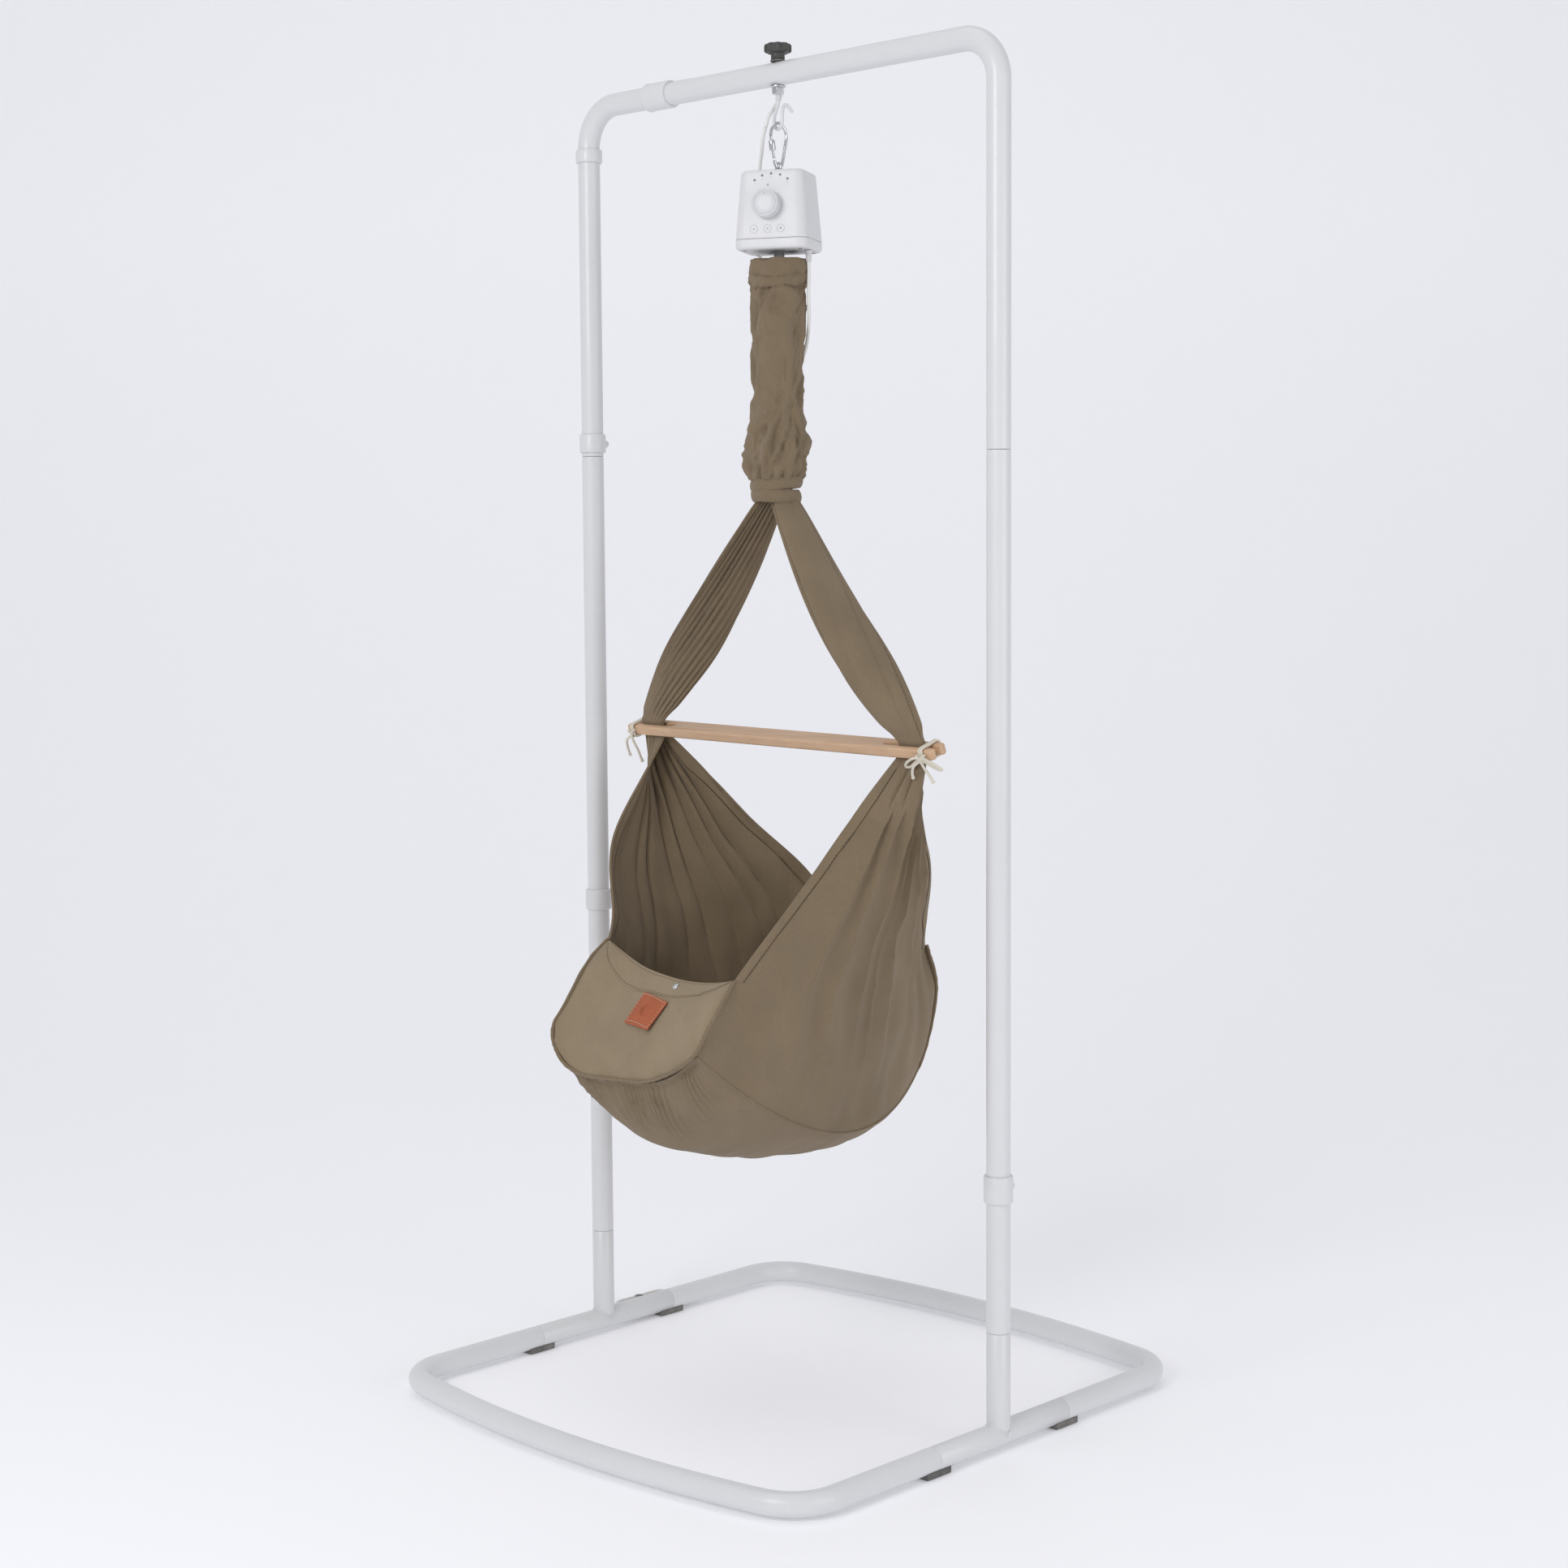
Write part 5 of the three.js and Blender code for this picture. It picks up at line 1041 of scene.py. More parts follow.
def makeSleeve():
    # a loose cotton tube over the spring: rolled cuff, drifting folds, and a belly drawn into the knot
    shape = clothGrid(sleevePoint, 150, 190, sleeve["thickness"])
    tube = makePiece("springSleeve", shape, "taupeCotton", None, ["sleeve"], sharp=80)
    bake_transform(tube)
    rings = []
    for k in range(11):
        roll = 0.25 + 2 * math.pi * 0.86 * k / 10
        ring = []
        for i in range(96):
            a = 2 * math.pi * i / 96
            sag = 3.4 * math.sin(2 * a + 0.6) + 2.0 * math.sin(5 * a)
            crushed = 0.3 - 1.5 * abs(wrinkle((math.cos(a) * 2.4 + roll, math.sin(a) * 2.4,
                                               roll), 1.0, 1.7))
            swell = sleeve["cuffSwell"] + sleeve["cuffCrush"] * crushed
            r = sleeve["cuffRadius"] + swell * math.cos(roll)
            z = sleeve["cuffLevel"] + sag + swell * 1.5 * math.sin(roll)
            lean = leanAt(z)
            ring.append(at(lean[0] + r * math.cos(a), lean[1] + r * math.sin(a), z))
        rings.append(ring)
    cuff = makePiece("sleeveCuff", ringSkin(rings, closed=True), "taupeCotton", "lift_strap",
                     sharp=80)
    return tube, cuff


def makeNeck():
    # the cloth gathered into a loop over the lower snap hook, and the band tied round it
    folds = lambda a, z: 1 + 0.07 * math.cos(11 * a + 0.02 * z)
    neck = lathe([(0, 1250), (17, 1250), (16.5, 1258), (15, 1267), (12.6, 1279), (9, 1299),
                  (0, 1300)], 88, folds)
    curve = smoothCurve([at(*p) for p in ((0, 0, 1296), (9, 0, 1303), (12, 0, 1318), (8, 0, 1331),
            (0, 0, 1336.4), (-8, 0, 1331), (-12, 0, 1318), (-9, 0, 1303))], True)
    loop = sweep(sampled(curve, 64, True), 3.9, 18, closed=True)
    makePiece("neckLoop", joinShapes(neck, loop), "taupeCotton", "hammock", ["neck_loop"],
              sharp=80)
    for number, (z, tall, lift, tilt) in enumerate(((1279, 9.5, 36.5, 0.09), (1262, 10.5, 35.0, -0.06))):
        rings = []
        for k in range(14):
            b = 2 * math.pi * k / 14
            ring = []
            for i in range(120):
                a = 2 * math.pi * i / 120
                fold = 1.1 * wrinkle((math.cos(a) * 3, math.sin(a) * 3, number), 1.0, 4.4)
                groove = 0.9 * math.cos(3 * b) * (0.6 + 0.4 * math.sin(a + number))
                r = lift - 4.2 + (4.2 + fold) * math.cos(b) + groove * 0.5
                up = tall * math.sin(b) * (1 + 0.1 * fold) + tilt * 36 * math.sin(a + 0.8)
                lean = leanAt(z)
                ring.append(at(lean[0] + r * math.cos(a), lean[1] + r * math.sin(a), z + up))
            rings.append(ring)
        makePiece(f"neckBand{number + 1}", ringSkin(rings, closed=True), "taupeCotton", "hammock",
                  sharp=80)


makeMotorCase()
makeBottomCover()
makeMotorFace()
makeMotorFittings()
makeSpring()
sleeveTube, sleeveCuff = makeSleeve()
makeNeck()
print("motor, spring and sleeve made")


# ---- spreader bar ----
bar = dict(length=660.0, width=30.0, height=15.0, z=926.0, place=(-6.0, -6.0), turn=-6.0, tilt=0.4,
           roll=20.0, slotWidth=9.0, slotLength=98.0, gatherLeft=-280.0, gatherRight=280.0, edge=3.2)
barPlace = (Matrix.Translation(Vector(at(*bar["place"], bar["z"])))
            @ Matrix.Rotation(math.radians(bar["turn"]), 4, "Z")
            @ Matrix.Rotation(math.radians(bar["tilt"]), 4, "Y")
            @ Matrix.Rotation(math.radians(bar["roll"]), 4, "X"))
barTurn = np.array(barPlace.to_3x3())
barWay, barSide = barTurn[:, 0], barTurn[:, 1]
barLevel = np.array((-math.sin(math.radians(bar["turn"])), math.cos(math.radians(bar["turn"])), 0.0))


def onBar(along, across=0.0, up=0.0):
    return barTurn @ at(along, across, up) + np.array(barPlace.to_translation())


def makeBar():
    half, wide, tall = bar["length"] / 2, bar["width"] / 2, bar["height"] / 2
    slot, root = bar["slotWidth"] / 2, bar["length"] / 2 - bar["slotLength"]
    # one end, from the root of the slot round the upper prong
    quarter = []
    quarter += [(root - slot * math.cos(a), slot * math.sin(a)) for a in np.linspace(0, math.pi / 2, 7)]
    quarter += [(half - 3.2 + 3.2 * math.cos(a), slot + 3.2 + 3.2 * math.sin(a))
                for a in np.linspace(-1.57, 0, 6)]
    quarter += [(half - 5.5 + 5.5 * math.cos(a), wide - 5.5 + 5.5 * math.sin(a))
                for a in np.linspace(0, 1.57, 6)]
    right = [(x, -y) for x, y in reversed(quarter)] + quarter[1:]
    outline = right + [(-x, -y) for x, y in right]
    points, faces = [], []
    count = len(outline)
    levels = [-tall, tall]
    for z in levels:
        points += [at(x, y, z) for x, y in outline]
    faces.append(tuple(range(count)))
    faces.append(tuple(range(2 * count - 1, count - 1, -1)))
    for k in range(count):
        n = (k + 1) % count
        faces.append((k, n, count + n, count + k))
    stick = makePiece("spreaderBar", (points, faces), "beech", "hammock", ["spreader_bar"],
                      bevel=bar["edge"])
    stick.data.transform(barPlace)
    stick.modifiers["roundedEdges"].segments = 4
    return stick


# ---- cloth from the neck to the bar ----
strap = dict(left=dict(side=-1, gather="gatherLeft", pleats=11, depth=0.34, outer=0.9),
             right=dict(side=1, gather="gatherRight", pleats=3, depth=0.26, outer=0.35))


def strapShape(made):
    side = made["side"]
    gather = bar[made["gather"]]
    start, end = at(-4 + side * 13.5, -3, 1256), onBar(gather, 0, bar["height"] / 2 + 5)
    rings, sections, around = [], 90, 110
    for i in range(sections + 1):
        t = i / sections
        centre = mixed(start, end, t)
        centre = centre + (barSide * -4 - barWay * side * 7) * mm * math.sin(math.pi * t)
        twist = t * t
        across = unit(mixed(barLevel, barSide, twist * twist))
        wide = unit(across * (1 - twist) + barWay * twist)
        thick = unit(across * twist - barWay * (1 - twist))
        swell = max(0.0, math.sin(math.pi * min(1.0, t * 1.02))) ** 0.7
        a = (1 - t) * 19 + t * 29 + 14 * swell
        b = (1 - t) * 17 + t * 8.5 + 6 * swell
        flat = eased((t - 0.93) / 0.07)
        b = b * (1 - flat) + 4.4 * flat
        a = a * (1 - flat) + 27 * flat
        ring = []
        for k in range(around):
            turn = 2 * math.pi * k / around
            x, y = math.cos(turn), math.sin(turn)
            out = wide * x * a + thick * y * b
            # 1 on the outer half of a left strap
            outward = 0.5 - 0.5 * side * float(unit(out) @ barWay)
            if side > 0:
                outward = 1 - outward
            share = made["outer"] * eased(outward * 1.3) + (1 - made["outer"]) * 0.6
            phase = made["pleats"] * turn + 0.8 * math.sin(2 * turn + side) + 0.6 * math.sin(3 * t + turn)
            ridge = abs(math.sin(phase)) ** 0.8 - 0.6
            soft = wrinkle((x, y * 1.2, t * 2.4), 1.1, 5.5 + side) * 0.10
            ring.append(centre + out * mm * (1 + made["depth"] * ridge * share * (1 - 0.5 * flat)
                                             + soft * (1 - flat)))
        rings.append(ring)
    slotHalf = bar["slotWidth"] / 2 - 0.7
    for up in (bar["height"] / 2 + 1.0, 0.0, -bar["height"] / 2 - 3):
        rings.append([onBar(gather + 25 * math.cos(a),
                            slotHalf * math.sin(a) * (1 + 0.06 * math.cos(9 * a)), up)
                            for a in (2 * math.pi * k / around for k in range(around))])
    return ringSkin(rings)


def makeStraps():
    for name, made in strap.items():
        node = name + "_strap"
        makePiece(name + "Strap", strapShape(made), "taupeCotton", "hammock", [node],
                  sharp=80)


makeBar()
makeStraps()
print("bar and straps made")


# ---- cradle ----
cradle = dict(
    frontLeft=(-158, -189, 648), frontRight=(158, -255, 631), rearLeft=(-120, 200, 688),
    rearRight=(100, 190, 622),
    frontEnd=dict(waist=(152, -296, 575), foot=(132, -304, 537), low=(0, -296, 483),
                  bulge=16.0, y=-296.0),
    rearEnd=dict(waist=(96, 215, 556), foot=(80, 194, 442), low=(0, 222, 408), bulge=48.0, y=204.0),
    seamMiddle=(150.0, 397.0), keelStart=-296.0, keelStep=74.0,
    keelHeights=(483, 386, 361, 348, 345, 348, 365, 405),
    cloth=1.6, hem=14.0, facing=0.17, pleats=9, bundle=25.0, cornerDrop=34.0,
    slack=dict(frontLeft=(-20, -24), frontRight=(-8, 6), rearLeft=(8, -6), rearRight=(13, 15)),
    creases={-1: [((0.60, 0.08), (0.76, 0.52), 4.5, 0.07), ((0.60, 0.10), (0.95, 0.20), 2.2, 0.03),
                  ((0.30, 0.02), (0.38, 0.18), 2.6, 0.03), ((0.22, 0.55), (0.45, 0.95), 3.0, 0.05),
                  ((0.55, 0.62), (0.42, 0.98), 2.6, 0.04), ((0.80, 0.55), (0.70, 0.95), 2.8, 0.05)],
             1: [((0.3, 0.1), (0.45, 0.8), 3.0, 0.05), ((0.7, 0.15), (0.58, 0.85), 3.0, 0.05)]},
)
keel = smoothCurve([np.array((0, cradle["keelStart"] + i * cradle["keelStep"], z))
                    for i, z in enumerate(cradle["keelHeights"])])


def keelZ(y):
    spans = cradle["keelStep"] * (len(cradle["keelHeights"]) - 1)
    return keel(min(0.99999, max(0.0, (y - cradle["keelStart"]) / spans)))[2]


def settled(shape):
    # the cloth hangs lower at its front left corner: everything there is moved down smoothly
    points = np.array(shape[0])
    share = np.ones(len(points))
    for value in (-points[:, 0] / 0.130, (-0.150 - points[:, 1]) / 0.130, (0.640 - points[:, 2]) / 0.050):
        value = np.clip(value, 0, 1)
        share *= value * value * (3 - 2 * value)
    points[:, 2] -= cradle["cornerDrop"] * mm * share
    return list(points), shape[1]


def onSide(point, side):
    return at(side * point[0], point[1], point[2])


def throughThree(a, b, c, t):
    return a * (t * (t - 1) / 2) + b * (1 - t * t) + c * (t * (t + 1) / 2)


def endOf(end):
    return cradle["frontEnd"] if end < 0 else cradle["rearEnd"]


def cornerOf(side, end):
    return at(*cradle[("front" if end < 0 else "rear") + ("Left" if side < 0 else "Right")])


def gatherOf(side):
    return bar["gatherLeft"] if side < 0 else bar["gatherRight"]


def seamPoint(side, t):
    front, rear = cradle["frontEnd"]["foot"], cradle["rearEnd"]["foot"]
    x, z = cradle["seamMiddle"]
    middle = at(side * x, (front[1] + rear[1]) / 2, z)
    return throughThree(onSide(front, side), middle, onSide(rear, side), t)


def panelEdge(side, end):
    top = onBar(gatherOf(side), 0, -bar["height"] / 2 - 1) + at(0, end * 3, 0)
    corner = cornerOf(side, end)
    key = ("front" if end < 0 else "rear") + ("Left" if side < 0 else "Right")
    halfWay = mixed(top, corner, 0.5) + at(*cradle["slack"][key], 0)
    shape = endOf(end)
    return smoothCurve([top, halfWay, corner, onSide(shape["waist"], side), onSide(shape["foot"], side)])


def panelMiddle(side):
    y = 10 if side < 0 else -42
    return smoothCurve([onBar(gatherOf(side), 0, -bar["height"] / 2 - 1), at(side * 232, y * 0.8, 740),
                        at(side * 192, y, 600), at(side * 174, y, 500), seamPoint(side, 0)])


def sideSurface(side):
    front, middle, rear = panelEdge(side, -1), panelMiddle(side), panelEdge(side, 1)
    rows = {}

    def surface(u, v):
        if v not in rows:
            rows[v] = (front(v), middle(v), rear(v))
        t = 2 * u - 1
        point = throughThree(*rows[v], t)
        loose = 1 - eased(v / 0.42)                       # still gathered below the bar
        point = point + barWay * mm * side * cradle["bundle"] * (1 - 2 * abs(t) ** 1.3) * loose
        turn = u + 0.030 * math.sin(9.4 * u + side) + 0.018 * math.sin(23 * u) + 0.012 * math.sin(6
                * v + 5 * u)
        number = math.floor(cradle["pleats"] * turn)
        ridge = 0.6 - 1.6 * abs(math.sin(math.pi * cradle["pleats"] * turn)) ** 0.62      # sharp crests
        strength = 0.7 + 0.6 * wrinkle((number * 1.7, side * 3.0, 0.4), 1.0, 2.2)
        # each pleat runs out at its own depth
        reach = 0.95 + 0.5 * wrinkle((number * 2.3, side, 0.9), 1.0, 4.2)
        amp = (3.0 + 7.5 * eased(v / 0.12)) * (1 - 0.42 * eased((v - 0.1) / 0.3))
        amp *= strength * (1 - eased((v - 0.3) / max(0.2, reach - 0.3))) * (0.35 + 0.65
                * eased((u - 0.06) / 0.25))
        open_ = eased(v / 0.2)
        way = unit(np.array((0, 1.0, 0)) * (1 - open_) + np.array((side, 0.25 * t, 0.12)) * open_)
        held = eased(min(u, 1 - u) / 0.05 + 0.25) * eased((1 - v) / 0.08)
        soft = (6.5 * wrinkle(point, 6.0, side) + 3.4 * wrinkle(point, 15.0, 5 + side)) * eased(v / 0.3)
        across = point * np.array((1.0, 1.0, 0.22))        # long upright wrinkles, as loaded cloth has
        soft += 7.5 * wrinkle(across, 26.0, 8 + side) * eased((v - 0.2) / 0.3)
        crush = math.sin(70 * v + 3 * math.sin(13 * u)) * math.exp(-u / 0.05) * eased((v - 0.72) / 0.1)
        drag = 3.0 * math.sin(14 * (u - 0.5) + 7 * v
                              + side) * eased((v - 0.25) / 0.3) * eased((1 - v) / 0.3)
        drag += 1.6 * crush
        return point + way * mm * (amp * ridge + (soft + drag) * held)

    return surface


def hemShare(side, end):
    front, rear, middle = panelEdge(side, -1), panelEdge(side, 1), panelMiddle(side)

    def span(v):
        wide = np.linalg.norm(middle(v) - front(v)) + np.linalg.norm(rear(v) - middle(v)) + 60 * mm
        share = min(0.09, cradle["hem"] * mm / wide)
        return (0.0, share) if end < 0 else (1 - share, 1.0)

    return span


def surfaceLine(surface, places):
    line, lift = [], []
    for u, v in places:
        here = surface(u, v)
        du = surface(min(1, u + 0.004), v) - surface(max(0, u - 0.004), v)
        dv = surface(u, min(1, v + 0.004)) - surface(u, max(0, v - 0.004))
        line.append(here)
        lift.append(unit(np.cross(du, dv)))
    return line, lift


def stitchRow(surface, places, thickness):
    line, lift = surfaceLine(surface, places)
    rows = []
    for way in (1, -1):
        moved = [p + n * way * mm * thickness / 2 for p, n in zip(line, lift)]
        rows.append(stitches(moved, [n * way for n in lift]))
    return joinShapes(*rows)


def declareSheet(obj):
    # flats holds each cut's width and length in metres, and its area; they are read off the modelled
    # cloth, so they say nothing about the real pattern; they are read off the modelled cloth, so the
    # area test against them says nothing about the real pattern
    width, length, area = flats[obj.name]
    faces = sum(face.area for face in obj.data.polygons) / 2
    print("sheet", obj.name, "cut", area, "now", round(faces, 4))


flats = dict(leftSidePanel=(0.56, 0.58, 0.204), rightSidePanel=(0.56, 0.59, 0.202),
             frontEndPanel=(0.56, 0.154, 0.044), rearEndPanel=(0.61, 0.246, 0.049),
             cradleBottom=(0.38, 0.59, 0.174), springSleeve=(0.327, 0.328, 0.0815), )


def makeSidePanels():
    rimV = 0.5                                            # the edge is free down to the rim's corner
    for name, side in (("left", -1), ("right", 1)):
        surface = sideSurface(side)
        panel = makePiece(name + "SidePanel", settled(clothGrid(surface, 190, 170, cradle["cloth"])),
                          "taupeCotton", "hammock", [name + "_side_panel"], sharp=80)
        for end, word in ((-1, "Front"), (1, "Rear")):
            share = hemShare(side, end)
            hem = clothGrid(surface, 5, 150, cradle["cloth"] + 1.5, share, (0.0, rimV))
            makePiece(name + word + "Hem", settled(hem), "taupeCotton", "hammock",
                                    sharp=80)
            inner = [(share(v)[1 if end < 0 else 0] + end * 0.003, v)
                     for v in np.linspace(0.03, rimV, 260)]
            # a thin tube in the dark thread finish along each face at the hem's inner edge: a painted
            # shadow line standing for the shade where the hem steps down
            shadowLine = surfaceLine(surface, [(share(v)[1 if end < 0 else 0], v)
                                         for v in np.linspace(0.03, rimV, 120)])
            rows = [sweep([q + n * way * mm * (cradle["cloth"] / 2 + 0.2) for q, n in zip(*shadowLine)], 0.75,
                          6) for way in (1, -1)]
            makePiece(name + word + "HemShadowLine", settled(joinShapes(*rows)), "threadAndShade",
                                    "hammock")
            makePiece(name + word + "HemStitches",
                    settled(stitchRow(surface, inner, cradle["cloth"] + 1.5)), "threadAndShade", "hammock")
        declareSheet(panel)


def endCurves(end):
    shape = endOf(end)
    left, right = cornerOf(-1, end), cornerOf(1, end)
    low = at(*shape["low"]) + at(0, 0, 2)
    foot = at(*shape["foot"])
    quarter = mixed(foot, low, 0.52) - np.array((0, 0, 0.22 * (foot[2] - low[2])))
    mirror = np.array((-1, 1, 1.0))
    lower = smoothCurve([left, onSide(shape["waist"], -1), onSide(shape["foot"], -1), quarter * mirror,
                         low, quarter, foot, onSide(shape["waist"], 1), right])
    return left, right, lower, shape


def endSurface(end):
    left, right, lower, shape = endCurves(end)
    middle = at(0, shape["y"], 560)

    def surface(u, v):
        s = (2 * u - 1) * 0.985
        top = mixed(left, right, (s + 1) / 2) - np.array((0, 0, 0.022 * (1 - s * s)))
        point = mixed(top, lower((s + 1) / 2), 0.005 + 0.99 * v)
        point = mixed(point, middle, 0.012)
        held = eased(min(v, 1 - v) / 0.1) * eased(min(u, 1 - u) / 0.06)
        soft = 4.6 * wrinkle(point, 8.0, 9.1) + 1.6 * wrinkle(point, 24.0, 3.3)
        drawn = 1.2 * math.sin(60 * u + 2 * math.sin(9 * u)) * eased((v - 0.72) / 0.28)
        for (u0, v0), (u1, v1), height, wide in cradle["creases"][end]:
            run = np.array((u1 - u0, (v1 - v0) * 0.6))
            here = np.array((u - u0, (v - v0) * 0.6))
            along = float(here @ run) / float(run @ run)
            off = float(here[0] * run[1] - here[1] * run[0]) / np.linalg.norm(run)
            fade = eased((along + 0.1) / 0.2) * eased((1.1 - along) / 0.35)
            side = 1.0 if off > 0 else 0.25                # one side steep, the other easy
            soft += height * fade * math.exp(-abs(off) / (wide * side))
        out = end * (shape["bulge"] * (1 - s * s) * math.sin(math.pi * v) + soft * held + drawn
                     * (1 - s ** 4))
        return point + at(0, out, 0)

    return surface


def makeEndPanels():
    for end, word in ((-1, "front"), (1, "rear")):
        surface = endSurface(end)
        panel = makePiece(word + "EndPanel", settled(clothGrid(surface, 150, 80, cradle["cloth"])),
                          "lightCotton", "hammock", [word + "_end_panel"], sharp=80)
        facing = clothGrid(surface, 150, 10, cradle["cloth"] + 2.0, (0.004, 0.996),
                           (0.0, cradle["facing"]))
        band = makePiece(word + "Facing", settled(facing), "lightCotton", "hammock",
                         sharp=80)
        rows = [stitchRow(surface, [(u, v) for u in np.linspace(0.01, 0.99, 330)], cradle["cloth"] + 2.0)
                for v in (cradle["facing"] - 0.012, 0.02)]
        seams = makePiece(word + "FacingStitches", settled(joinShapes(*rows)), "threadAndShade", "hammock")
        lower = endCurves(end)[2]
        line = [lower(t) + at(0, end * 1.6, 0) for t in np.linspace(0.0, 0.99999, 240)]
        pipe = lambda t: 2.5 + 0.3 * math.sin(260 * t) * math.sin(37 * t)
        edging = makePiece(word + "Piping", settled(sweep(line, pipe, 12)), "taupeCotton", "hammock",
                           sharp=80)
        declareSheet(panel)


def bottomSurface(u, v):
    front, rear = cradle["frontEnd"], cradle["rearEnd"]
    t, across = (2 * u - 1) * 0.997, (2 * v - 1) * 0.997
    point = mixed(seamPoint(-1, t), seamPoint(1, t), (across + 1) / 2)
    share = (t + 1) / 2
    lowY = (front["low"][1] * (1 - share) + rear["low"][1] * share)
    footY = (front["foot"][1] * (1 - share) + rear["foot"][1] * share)
    belly = 1 - abs(across) ** 2.2
    point = point + at(0, (lowY - footY) * belly, 0)
    point[2] -= (point[2] - keelZ(point[1] / mm) * mm) * belly
    ruched = 5.0 * (1 - eased((t + 1) / 0.3)) + 3.0 * (1 - eased((1 - t) / 0.22))
    phase = 44 * across + 2.6 * math.sin(7 * across) + 2.4 * math.sin(9 * t + 3 * across)
    gather = (1 - 2 * abs(math.sin(phase)) ** 0.7) * ruched * (0.6 + 0.8
            * wrinkle((across * 4, t * 3, 0), 1.0, 7.7))
    held = eased(min(u, 1 - u) / 0.03) * eased(min(v, 1 - v) / 0.05)
    soft = 4.2 * wrinkle(point, 6.0, 6.2) + 2.0 * wrinkle(point, 17.0, 1.9)
    soft += 3.0 * wrinkle(point * np.array((0.5, 1.6, 1.0)), 22.0, 4.4)
    tucked = math.exp(-((u - 0.014) / 0.012) ** 2) - 0.7 * math.exp(-((u - 0.07) / 0.035) ** 2)
    point = point + at(0, 5.0 * tucked, 3.0 * tucked) * eased((1 - abs(across)) / 0.12)
    down = unit(np.array((across * 1.3, t * 0.5, -1.0)))
    return point + down * mm * (gather * (0.3 + 0.7 * held) + soft * held)


def makeBottom():
    bottom = makePiece("cradleBottom", settled(clothGrid(bottomSurface, 150, 170, cradle["cloth"])),
                       "taupeCotton", "hammock", ["cradle_bottom"], sharp=80)
    for name, side in (("left", -1), ("right", 1)):
        line = [seamPoint(side, t) + at(side * 0.8, 0, 0) for t in np.linspace(-0.99, 0.99, 200)]
        makePiece(name + "SeamPiping", settled(sweep(line, 1.9, 12, flatten=0.9)), "taupeCotton",
                  "hammock", sharp=80)
    declareSheet(bottom)


# ---- mattress ----
mattress = dict(halfX=104.0, halfY=178.0, middleY=-32.0, z=377.0, rise=0.0011,
        levels=((0.62, 0), (0.93, 9), (1.0, 20), (0.97, 31), (0.9, 34)), voxel=6.0, pressure=4.0, cap=5.0)


def mattressPoint(a, scale, up):
    square = lambda c: math.copysign(abs(c) ** 0.55, c)
    y = mattress["middleY"] + mattress["halfY"] * scale * square(math.sin(a))
    z = mattress["z"] + up + mattress["rise"] * (y + 20) ** 2 * (1 - up / 60)
    return at(mattress["halfX"] * scale * square(math.cos(a)), y, z)


def puff(obj, made):
    # the cover's own tension rounds the pad out; movement is capped so that it stays in its place
    remesh = obj.modifiers.new("remesh", "REMESH")
    remesh.mode, remesh.voxel_size = "VOXEL", made["voxel"] * mm
    graph = bpy.context.evaluated_depsgraph_get()
    obj.data = bpy.data.meshes.new_from_object(obj.evaluated_get(graph))
    obj.modifiers.clear()
    before = np.array([v.co for v in obj.data.vertices])
    cloth = obj.modifiers.new("cloth", "CLOTH")
    cloth.settings.use_pressure = True
    cloth.settings.uniform_pressure_force = made["pressure"]
    cloth.settings.effector_weights.gravity = 0.0
    cloth.settings.tension_stiffness = cloth.settings.compression_stiffness = 12.0
    scene = bpy.context.scene
    for number in range(1, 21):
        scene.frame_set(number)
    graph = bpy.context.evaluated_depsgraph_get()
    moved = bpy.data.meshes.new_from_object(obj.evaluated_get(graph))
    after = np.array([v.co for v in moved.vertices])
    obj.modifiers.clear()
    scene.frame_set(1)
    shift = after - before
    size = np.linalg.norm(shift, axis=1, keepdims=True)
    shift *= np.minimum(1.0, made["cap"] * mm / np.maximum(size, 1e-9))
    obj.data.vertices.foreach_set("co", (before + shift).astype(np.float32).ravel())
    obj.data.update()


def makeMattress():
    rings = []
    for scale, up in mattress["levels"]:
        shrink = scale - 0.045
        rings.append([mattressPoint(2 * math.pi * k / 72, shrink, 4 + up * 0.8) for k in range(72)])
    pad = makePiece("mattressPad", settled(ringSkin(rings)), "padCotton", "hammock", ["mattress"],
                    sharp=80)
    puff(pad, mattress)
    pad.data.materials.clear()
    pad.data.materials.append(finishes["padCotton"])
    pad.data.shade_smooth()
    smooth = pad.modifiers.new("smooth", "SUBSURF")
    smooth.levels = smooth.render_levels = 1
    for word, up, scale in (("Upper", 30, 0.955), ("Lower", 9.5, 0.93)):
        line = [mattressPoint(2 * math.pi * k / 160, scale, up) for k in range(160)]
        makePiece("mattress" + word + "Piping", settled(sweep(line, 1.6, 10, closed=True)), "padCotton",
                  "hammock", sharp=80)
    return pad


# ---- label and stud ----
label = dict(width=60.0, height=47.0, corner=3.0, u=0.5, v=0.33, turn=-8.0, lift=3.2)


def frontPlace(u, v, turn, lift):
    surface = endSurface(-1)
    place = surface(u, v)
    across = unit(surface(u + 0.03, v) - surface(u - 0.03, v))
    down = surface(u, v + 0.04) - surface(u, v - 0.04)
    out = unit(np.cross(down, across))
    if out[1] > 0:
        out = -out
    up = np.cross(out, across)
    place = place + out * lift * mm
    return Matrix(((across[0], up[0], out[0], place[0]), (across[1], up[1], out[1], place[1]),
                   (across[2], up[2], out[2], place[2]),
                   (0, 0, 0, 1))) @ Matrix.Rotation(math.radians(turn), 4, "Z")


